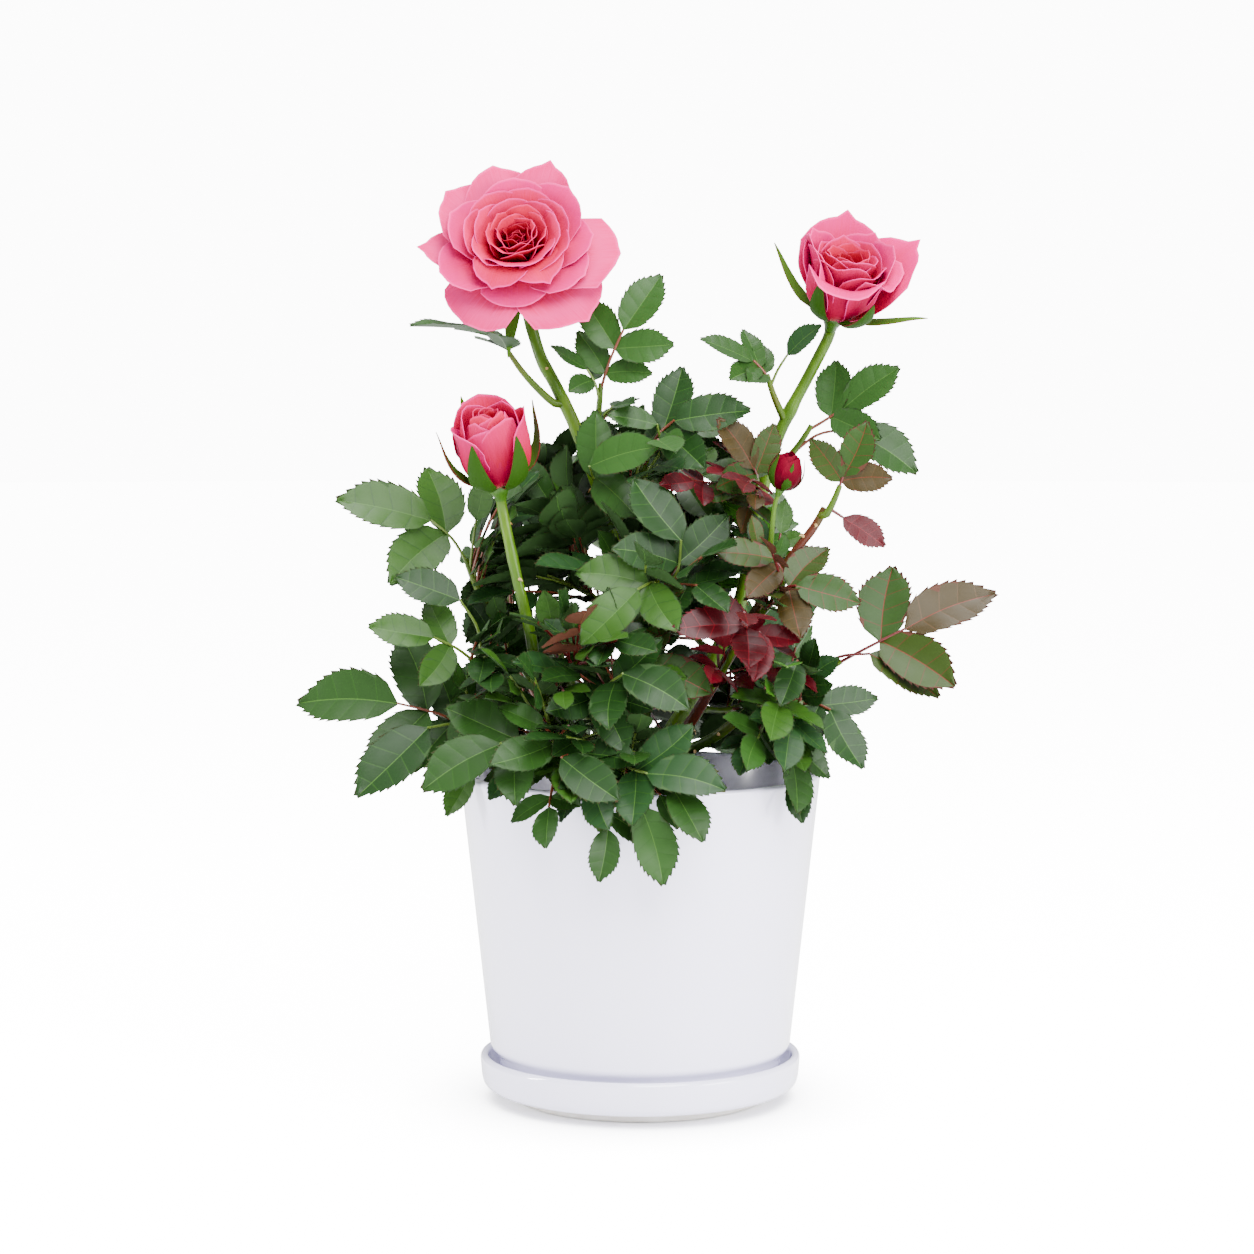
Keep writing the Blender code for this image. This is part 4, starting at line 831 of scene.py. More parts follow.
class Cane:
    """One cane: its path from the knuckle to its tip or to the hip of its bloom, and its tube."""

    def __init__(self, foot, places, radii, bloom):
        start = Vector((foot[0], foot[1], SOIL_TOP + KNUCKLE_HEIGHT + CLEAR))
        lift = start + UP * FOOT_LIFT
        places = [start, lift, *[Vector(p) for p in places], *neck(bloom)]
        self.path = smooth_path(places, CANE_STEP)
        self.solid = tube(self.path, tapered(self.path, *radii), CANE_SIDES)


def drawn_back(path, first, last, sides):
    """A tube along a path that starts by the gap before it, for the test of what it would touch."""
    path = [path[0] - (path[1] - path[0]).normalized() * CLEAR, *path[1:]]
    return tube(path, tapered(path, first, last), sides)


def bud_stalk(cane, space):
    """The path of the closed bud's stalk, from as near its cane as the gap allows."""
    place, heading = at_height(cane.path, BUD_STALK_HEIGHT)
    out = neck("bud_closed")[0] - place
    aside = (out - heading * out.dot(heading)).normalized()
    first, last = BUD_STALK_RADII
    for k in range(STEM_STEPS):
        path = smooth_path([place + aside * (STEM_START + STEM_STEP * k), *neck("bud_closed")], CANE_STEP)
        if space.is_clear(drawn_back(path, first + CLEAR, last + CLEAR, CANE_SIDES)):
            return path
    raise RuntimeError("no room for the closed bud's stalk")


def neck(bloom):
    """The last two places of what bears a bloom: straight under its hip, with the gap."""
    if not bloom:
        return []
    base, axis = Vector(BLOOMS[bloom][0]), Vector(BLOOMS[bloom][1]).normalized()
    return [base - axis * (NECK + CLEAR), base - axis * CLEAR]


# Finishes


def linear(code):
    """A colour written as #rrggbb, in linear light."""
    parts = [int(code[k : k + 2], 16) / 255 for k in (1, 3, 5)]
    return tuple(c / 12.92 if c <= 0.04045 else ((c + 0.055) / 1.055) ** 2.4 for c in parts)


# Colours are sRGB. Sizes in the patterns are in millimetres.


def shader_material(name, code, roughness, **sockets):
    """A material whose Principled sockets hold one value all over the surface."""
    mat = bpy.data.materials.new(name)
    mat.use_nodes = True
    shader = mat.node_tree.nodes["Principled BSDF"]
    shader.inputs["Base Color"].default_value = (*linear(code), 1.0)
    shader.inputs["Roughness"].default_value = roughness
    for socket, value in sockets.items():
        shader.inputs[socket.replace("_", " ")].default_value = value
    mat.diffuse_color = (*linear(code), 1.0)
    return mat


def add_node(owner, kind, links=(), sockets=(), stops=(), **settings):
    """A node for a material or the world: its links as (socket, node, output), values as (socket, value),
    a ramp's stops as (position, #rrggbb), and its settings by name."""
    tree = owner.node_tree
    node = tree.nodes.new(kind)
    for key, value in settings.items():
        setattr(node, key, value)
    for socket, value in sockets:
        node.inputs[socket].default_value = value
    if stops:
        elements = node.color_ramp.elements
        while len(elements) < len(stops):
            elements.new(0.5)
        for element, (position, code) in zip(elements, stops):
            element.position = position
            element.color = (*linear(code), 1.0)
    for socket, source, output in links:
        tree.links.new(source.outputs[output], node.inputs[socket])
    return node


def into_shader(mat, socket, node, output):
    mat.node_tree.links.new(node.outputs[output], mat.node_tree.nodes["Principled BSDF"].inputs[socket])


EVEN = (1.0, 1.0, 1.0)


def pattern(mat, size, detail, stretch):
    """Noise over the piece, about this many millimetres across for a stretch of 1 along an axis, and
    longer along it for less."""
    place = add_node(mat, "ShaderNodeTexCoord")
    per_mm = [(1, [s / MM for s in stretch])]
    scaled = add_node(
        mat, "ShaderNodeVectorMath", [("Vector", place, "Object")], per_mm, operation="MULTIPLY"
    )
    size_and_detail = [("Scale", 1.0 / size), ("Detail", detail)]
    return add_node(mat, "ShaderNodeTexNoise", [("Vector", scaled, "Vector")], size_and_detail)


def tones(mat, stops, size, detail, stretch=EVEN):
    """Colours of the surface by a pattern, from (position, #rrggbb) stops."""
    source = [("Fac", pattern(mat, size, detail, stretch), "Fac")]
    into_shader(mat, "Base Color", add_node(mat, "ShaderNodeValToRGB", source, stops=stops), "Color")


def relief(mat, strength, depth, size, detail, stretch=EVEN):
    """Relief by a pattern, whose full swing is the depth in millimetres."""
    source = [("Height", pattern(mat, size, detail, stretch), "Fac")]
    values = [("Strength", strength), ("Distance", depth * MM)]
    into_shader(mat, "Normal", add_node(mat, "ShaderNodeBump", source, values), "Normal")


def glazed_ceramic(name, code):
    """White glaze: sharp reflections over a soft sheen, faintly wavy as a dipped coat is."""
    mat = shader_material(name, code, 0.16, Coat_Weight=1.0, Coat_Roughness=0.03)
    relief(mat, 0.25, 0.35, 26.0, 1.0, (1.0, 1.0, 0.6))
    return mat


def bisque(name, code):
    """Bare fired clay on the saucer's foot: matt and finely grained, with slow pale patches."""
    mat = shader_material(name, code, 0.85)
    tones(mat, [(0.3, "#e2ddd4"), (0.75, "#efece6")], 6.0, 3.0)
    relief(mat, 0.5, 0.08, 0.35, 4.0)
    return mat


def potting_mix(name, dark, pale):
    """Damp peat: matt and nearly black, with paler brown crumbs of one to two millimetres."""
    mat = shader_material(name, dark, 0.95)
    tones(mat, [(0.35, dark), (0.7, pale)], 1.8, 6.0)
    relief(mat, 0.9, 0.7, 0.8, 8.0)
    return mat


def green_bark(name, codes):
    """Young bark: a dull sheen, fine streaks along the cane, and a slow change of tone."""
    mat = shader_material(name, codes[0], 0.38, Specular_IOR_Level=0.25)
    tones(mat, list(zip((0.30, 0.52, 0.72), codes)), 9.0, 4.0, (1.0, 1.0, 0.35))
    relief(mat, 0.35, 0.12, 0.5, 3.0, (1.0, 1.0, 0.08))
    return mat


def old_bark(name):
    """Old bark on the woody foot: matt, brown, flaky and cracked along the cane."""
    mat = shader_material(name, "#4b3a28", 0.85)
    tones(mat, [(0.3, "#2c2118"), (0.7, "#6d583e")], 2.5, 6.0, (1.0, 1.0, 0.4))
    relief(mat, 0.9, 0.8, 1.2, 6.0, (1.0, 1.0, 0.4))
    return mat


VEIN_FAN = (2.5, 60.0, 1.0)  # how often the veins change along a petal and across it
TONE_SHIFT = 0.60  # of a petal's length, by which its tones run up and down along the veins
RIM_START = 0.965  # of the way to a petal's edge, where its rim begins
MIX_A, MIX_B, MIX_RESULT = 6, 7, 2  # numbers of a Mix node's colour sockets


def petal_skin(name, stops, rim):
    """Petal: satin, one tone at the claw that runs to another towards the rim, a thin paler rim, and fine
    veins that fan out along it. It reads the petal's own UV, along and across."""
    mat = shader_material(name, stops[-1][1], 0.5, Specular_IOR_Level=0.03)
    place = add_node(mat, "ShaderNodeUVMap", uv_map="Petal")
    fan = add_node(
        mat, "ShaderNodeVectorMath", [("Vector", place, "UV")], [(1, VEIN_FAN)], operation="MULTIPLY"
    )
    size_and_detail = [("Scale", 1.0), ("Detail", 2.0)]
    veins = add_node(mat, "ShaderNodeTexNoise", [("Vector", fan, "Vector")], size_and_detail)
    axes = add_node(mat, "ShaderNodeSeparateXYZ", [("Vector", place, "UV")])
    about_zero = [(1, TONE_SHIFT), (2, -TONE_SHIFT / 2)]
    shift = add_node(mat, "ShaderNodeMath", [(0, veins, "Fac")], about_zero, operation="MULTIPLY_ADD")
    shifted = add_node(mat, "ShaderNodeMath", [(0, shift, "Value"), (1, axes, "X")], operation="ADD")
    band = add_node(mat, "ShaderNodeValToRGB", [("Fac", shifted, "Value")], stops=stops)
    centred = add_node(
        mat, "ShaderNodeMath", [(0, axes, "Y")], [(1, 2.0), (2, -1.0)], operation="MULTIPLY_ADD"
    )
    sideways = add_node(mat, "ShaderNodeMath", [(0, centred, "Value")], operation="ABSOLUTE")
    edge = add_node(mat, "ShaderNodeMath", [(0, sideways, "Value"), (1, axes, "X")], operation="MAXIMUM")
    near = add_node(mat, "ShaderNodeMapRange", [("Value", edge, "Value")], [("From Min", RIM_START)])
    inputs = [("Factor", near, "Result"), (MIX_A, band, "Color")]
    mixed = add_node(mat, "ShaderNodeMix", inputs, [(MIX_B, (*linear(rim), 1.0))], data_type="RGBA")
    into_shader(mat, "Base Color", mixed, MIX_RESULT)
    depth = [("Strength", 0.3), ("Distance", 0.12 * MM)]
    into_shader(mat, "Normal", add_node(mat, "ShaderNodeBump", [("Height", veins, "Fac")], depth), "Normal")
    return mat


# Leaf skin: wax gives blade, veins and rib a soft sheen. The red-brown margin is drier, and the back matt
# and paler. Tones differ from leaf to leaf: old ones dark green, new ones fresh green, bronze and red.
LEAF_ROUGHNESS = {"blade": 0.42, "vein": 0.4, "rib": 0.4, "margin": 0.55, "back": 0.6}
LEAF_FINISHES = {
    "green": {
        "blade": ["#1a350e", "#122c0b", "#214013", "#264510", "#163213"],
        "vein": "#1e3c10", "rib": "#355520", "margin": "#4a1c14", "back": "#263e1c",
    },
    "fresh": {
        "blade": ["#2b580d", "#25500d"],
        "vein": "#326015", "rib": "#4e7321", "margin": "#4f2b0d", "back": "#486a2d",
    },
    "bronze": {
        "blade": ["#24340a", "#2e2408", "#1e360c"],
        "vein": "#3a2a10", "rib": "#542212", "margin": "#3d0a06", "back": "#44261a",
    },
    "red": {
        "blade": ["#3c0008", "#300005", "#4a020e"],
        "vein": "#50050e", "rib": "#5c0a14", "margin": "#2c0004", "back": "#560c16",
    },
}
# The families that a mass's leaves are drawn from, where they aren't all green
FAMILY_OF_MASS = {
    "foliage_red_low": ("red",),
    "foliage_red_middle": ("bronze", "bronze", "green"),
    "foliage_red_top": ("bronze", "red"),
    "foliage_red_left": ("bronze", "red"),
    "foliage_far_right": ("bronze",),
    "foliage_side_shoot": ("bronze", "green"),
    "foliage_right_low": ("green", "green", "fresh", "green"),
    "foliage_inner_middle": ("green", "fresh", "green"),
    "foliage_inner_right": ("green", "green", "fresh"),
}


def leaf_materials():
    """The slots of every leaf piece, in order, and where each family's parts stand among them."""
    mats, places = [], {}
    for family, parts in LEAF_FINISHES.items():
        for part, rough in LEAF_ROUGHNESS.items():
            codes = parts[part] if part == "blade" else [parts[part]]
            places[family, part] = list(range(len(mats), len(mats) + len(codes)))
            for k, code in enumerate(codes):
                name = f"rose_leaf_{family}_{part}" + (f"_{k}" if len(codes) > 1 else "")
                mats.append(shader_material(name, code, rough, Specular_IOR_Level=0.17))
    return mats, places


# Meshes


def finish_piece(obj, nodes):
    """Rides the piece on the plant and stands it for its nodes."""
    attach(obj, "root")
    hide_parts(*nodes)


class Heap:
    """Many small closed shapes gathered for one joined piece."""

    def __init__(self):
        self.verts, self.faces, self.slots, self.uv = [], [], [], []
        self.count = 0

    def add(self, verts, faces, slots, uv=None):
        self.verts.append(np.asarray(verts, float))
        self.faces += [tuple(int(k) + self.count for k in face) for face in faces]
        self.slots += list(slots) if hasattr(slots, "__len__") else [slots] * len(faces)
        self.count += len(verts)
        if uv is not None:
            self.uv.append(np.asarray(uv, float))

    def piece(self, name, mats, flat_over):
        """A piece at the origin from all of it, smooth but for edges over an angle."""
        mesh = bpy.data.meshes.new(name)
        mesh.from_pydata((np.concatenate(self.verts) * MM).tolist(), [], self.faces)
        for mat in mats:
            mesh.materials.append(mat)
        mesh.polygons.foreach_set("material_index", np.asarray(self.slots, np.int32))
        if self.uv:
            layer = mesh.uv_layers.new(name="Petal")
            corners = np.empty(len(mesh.loops), np.int32)
            mesh.loops.foreach_get("vertex_index", corners)
            places = np.concatenate(self.uv).astype(np.float32)
            layer.data.foreach_set("uv", places[corners].ravel())
        mesh.shade_smooth()
        mesh.set_sharp_from_angle(angle=radians(flat_over))
        mesh.update()
        obj = bpy.data.objects.new(name, mesh)
        bpy.context.scene.collection.objects.link(obj)
        return obj


def round_limb(path, radii, sides, swell):
    """A tube whose places are moved out from its path by a factor from their ring and side."""
    verts, faces = tube(path, radii, sides)
    places = []
    for k, v in enumerate(verts):
        ring, side = divmod(k, sides)
        places.append(path[ring] + (v - path[ring]) * swell(ring, side))
    return places, faces


# The visible leaf


# A leaflet's shape. Widths are for its half width, and the rest for its length.
LEAF_WIDEST = 2.554  # makes the widest place 1
ROOT_HALF = 0.05
TIP_HALF = 0.02
RIB_HALF = 0.020
RIB_DIP = 0.012
VEIN_HALF = 0.006
VEIN_DIP = 0.004
VEIN_SWEEP = 0.13  # how far a side vein runs on towards the tip
SWELL = 0.02  # rise of the blade between two veins
TOOTH_OUT = 0.105
TOOTH_ALONG = 0.018
BACK_DEPTH = 0.03  # of the rib's underside

# How leaflets differ
VEINS_LONG, VEINS_SHORT = 5, 4  # steps between side veins
LONG_LEAFLET = 17.0
LEAF_WIDTHS = (0.94, 1.04)
LEAF_FOLDS = (0.6, 1.3)
LEAF_WAVES = (0.004, 0.016)  # height of the waves in its side, for its length
WAVE_RUN = 9.0  # radians of those waves along it
LEAF_TWIST = 0.25  # radians at the tip
LEAF_BOW = 0.05  # sideways, for its length


def leaf_width(share):
    """Half width of a leaflet for its widest, at a share of its length."""
    return LEAF_WIDEST * share**0.55 * (1.0 - share) ** 0.85


def between_veins(share, veins):
    """Whether a share of the length is where the blade swells between two side veins."""
    return abs(share * veins % 1.0 - 0.5) < 0.1


def leaf_template(veins):
    """One leaflet, 1 long and 1 in half width: places (across, along, rise), faces and their parts."""
    rows = [0.0, 0.5 / veins]
    for k in range(1, veins):
        rows += [k / veins - VEIN_HALF, k / veins + VEIN_HALF, (k + 0.5) / veins]
    rows.append(1.0)
    places = []
    for y in rows:
        wide = max(ROOT_HALF if y < 0.5 else TIP_HALF, leaf_width(min(0.999, max(0.001, y))))
        swell = SWELL if between_veins(y, veins) else -VEIN_DIP
        inner = min(0.35, RIB_HALF / wide)
        for c in (-1.0, -0.5, -inner, inner, 0.5, 1.0):
            x = c * wide
            shift = VEIN_SWEEP * abs(x) * sin(pi * y)
            lift = swell if abs(c) == 0.5 else 0.0
            lift -= RIB_DIP if abs(c) == inner else 0.0
            places.append((x, y + shift, lift))
    faces, parts = [], []
    for r in range(len(rows) - 1):
        is_vein = rows[r + 1] - rows[r] < 3 * VEIN_HALF
        for c in range(5):
            a = r * 6 + c
            faces.append((a, a + 1, a + 7, a + 6))
            parts.append("rib" if c == 2 else "vein" if is_vein else "blade")
    edges = {0: [], 5: []}
    for column, out in ((0, -1.0), (5, 1.0)):
        for r in range(len(rows)):
            edges[column].append(r * 6 + column)
            if 0 < r < len(rows) - 1 and rows[r + 1] - rows[r] > 3 * VEIN_HALF:
                x, y, z = places[(r + 1) * 6 + column]
                tip = len(places)
                places.append((x + out * TOOTH_OUT, y + TOOTH_ALONG, z))
                low, high = r * 6 + column, (r + 1) * 6 + column
                faces.append((low, tip, high) if out > 0 else (low, high, tip))
                parts.append("margin")
                edges[column].append(tip)
    middles = []
    for r, y in enumerate(rows):
        if r in (0, len(rows) - 1) or between_veins(y, veins):
            middles.append((r, len(places)))
            places += [(-RIB_HALF, y, -BACK_DEPTH), (RIB_HALF, y, -BACK_DEPTH)]
    for (low, a), (high, b) in zip(middles, middles[1:]):
        for column in (0, 5):
            edge = edges[column]
            run = edge[edge.index(low * 6 + column) : edge.index(high * 6 + column) + 1]
            loop = [a, *run, b] if column == 0 else [b + 1, *run[::-1], a + 1]
            faces.append(tuple(loop))
            parts.append("back")
        faces.append((a + 1, a, b, b + 1))
        parts.append("rib")
    top = 6 * (len(rows) - 1)
    root, tip = middles[0][1], middles[-1][1]
    faces += [(root, root + 1, 5, 4, 3, 2, 1, 0), (tip + 1, tip, *range(top, top + 6))]
    parts += ["back", "back"]
    return np.array(places), faces, parts


class LeafMaker:
    """Lays leaflets of two finenesses into heaps."""

    def __init__(self, places):
        self.shapes = {veins: leaf_template(veins) for veins in (VEINS_SHORT, VEINS_LONG)}
        self.places = places

    def lay(self, heap, root, tip, normal, family, tone, rng):
        """Adds one leaflet, folded along its rib, waved, twisted and bowed a little."""
        length = (tip - root).length
        places, faces, parts = self.shapes[VEINS_LONG if length > LONG_LEAFLET else VEINS_SHORT]
        half = 0.5 * BLADE_RATIO * length * rng.uniform(*LEAF_WIDTHS)
        head = (tip - root).normalized()
        normal = (normal - head * normal.dot(head)).normalized()
        across = head.cross(normal)
        x, y, rise = places[:, 0] * half, places[:, 1] * length, places[:, 2] * length
        share, side = places[:, 1], np.abs(places[:, 0])
        fold = BLADE_FOLD * rng.uniform(*LEAF_FOLDS)
        rise = rise + fold * half * side**1.2 - BLADE_DROOP * length * share**2
        height = rng.uniform(*LEAF_WAVES)
        rise += length * height * np.sin(WAVE_RUN * share + rng.uniform(0, 6.3)) * side
        twist = rng.uniform(-LEAF_TWIST, LEAF_TWIST) * share
        bow = rng.uniform(-LEAF_BOW, LEAF_BOW) * length * np.sin(pi * share)
        turned_x = x * np.cos(twist) - rise * np.sin(twist) + bow
        turned_z = x * np.sin(twist) + rise * np.cos(twist)
        frame_rows = np.array([across, head, normal])
        verts = np.array(root) + np.stack([turned_x, y, turned_z], 1) @ frame_rows
        slots = []
        for part in parts:
            choice = self.places[family, part]
            slots.append(choice[tone % len(choice)])
        heap.add(verts, faces, slots)


# The visible petal


PATCH_RUN = 1.1  # for its length, how far a petal's curve is worked out, as its point goes past its end
PATCH_MARKS = 111  # places on that curve
PATCH_STEP = 0.01  # between two of them
POINT_WIDTH = 0.13  # of the point at a petal's tip, for its half width
FULL_WIDTH = 0.74  # of its length, where a petal is widest
FLAT_BEND = 60.0  # radius a flat petal is bent to
LEAST_BEND = 4.0
WAVE_TURN = 2.6  # radians of the broad wave from a petal's middle to its side
FRILL_TURN = 7.0  # and of the smaller one
EDGE_TAPER = 0.55  # of its thickness, that a petal loses at its edge


def petal_patch(
    rows, columns, length, width, leans, hug, root, lift, claw, tip, roll, wave, phase, thick, lap
):
    """One petal or sepal of a bloom that faces +Z, as a closed curved plate: verts, faces, which side
    each face is on (0 outside, 1 inside, 2 rim), and the places along and across it."""
    u = np.linspace(0.0, 1.0, rows + 1)[:, None]
    v = np.linspace(-1.0, 1.0, columns + 1)[None, :]
    drop, point = tip
    reach = u * (1.0 - drop * np.abs(v) ** 2.6 + point * np.exp(-((v / POINT_WIDTH) ** 2)))
    fine = np.linspace(0.0, PATCH_RUN, PATCH_MARKS)
    lean = np.radians(np.interp(fine, np.linspace(0, 1, len(leans)), leans))
    out_at = root + np.concatenate([[0], np.cumsum(np.sin(lean[:-1]))]) * length * PATCH_STEP
    up_at = lift + np.concatenate([[0], np.cumsum(np.cos(lean[:-1]))]) * length * PATCH_STEP
    out, up = np.interp(reach, fine, out_at), np.interp(reach, fine, up_at)
    slope = np.interp(reach, fine, lean)
    spread = claw + (1.0 - claw) * np.sin(0.5 * pi * np.clip(u / FULL_WIDTH, 0, 1)) ** 1.1
    side = 0.5 * width * spread * v
    bend = FLAT_BEND + (np.maximum(out, LEAST_BEND) - FLAT_BEND) * hug**0.5
    angle = side / bend
    inward = bend * (1.0 - np.cos(angle)) + lap * v
    inward = inward - roll * length * np.abs(v) ** 4 * u**2
    inward = inward + wave * length * np.sin(WAVE_TURN * v + phase) * u**3
    inward = inward + 0.5 * wave * length * np.sin(FRILL_TURN * v + 2.0 * phase) * u**5
    across = bend * np.sin(angle)
    x = out - inward * np.cos(slope)
    z = up + inward * np.sin(slope)
    mid = np.stack([x, across + 0 * x, z], -1)
    along_u = np.gradient(mid, axis=0)
    along_v = np.gradient(mid, axis=1)
    normal = np.cross(along_v, along_u)
    normal /= np.maximum(np.linalg.norm(normal, axis=-1, keepdims=True), 1e-9)
    taper = thick * (1.0 - EDGE_TAPER * np.maximum(np.abs(v), u) ** 3)[..., None]
    front, back = mid + normal * taper / 2, mid - normal * taper / 2
    verts = np.concatenate([front.reshape(-1, 3), back.reshape(-1, 3)])
    count, wide = (rows + 1) * (columns + 1), columns + 1
    faces, sides = [], []
    for r in range(rows):
        for c in range(columns):
            a = r * wide + c
            faces.append((a, a + 1, a + wide + 1, a + wide))
            sides.append(0)
            faces.append((count + a, count + a + wide, count + a + wide + 1, count + a + 1))
            sides.append(1)
    rim = [*range(wide), *[(r + 1) * wide + columns for r in range(rows)]]
    rim += [rows * wide + c for c in reversed(range(columns))]
    rim += [r * wide for r in reversed(range(1, rows))]
    for a, b in zip(rim, rim[1:] + rim[:1]):
        faces.append((b, a, count + a, count + b))
        sides.append(2)
    uv = np.stack([u + 0 * v, 0.5 + 0.5 * v + 0 * u], -1).reshape(-1, 2)
    return verts, faces, sides, np.concatenate([uv, uv])


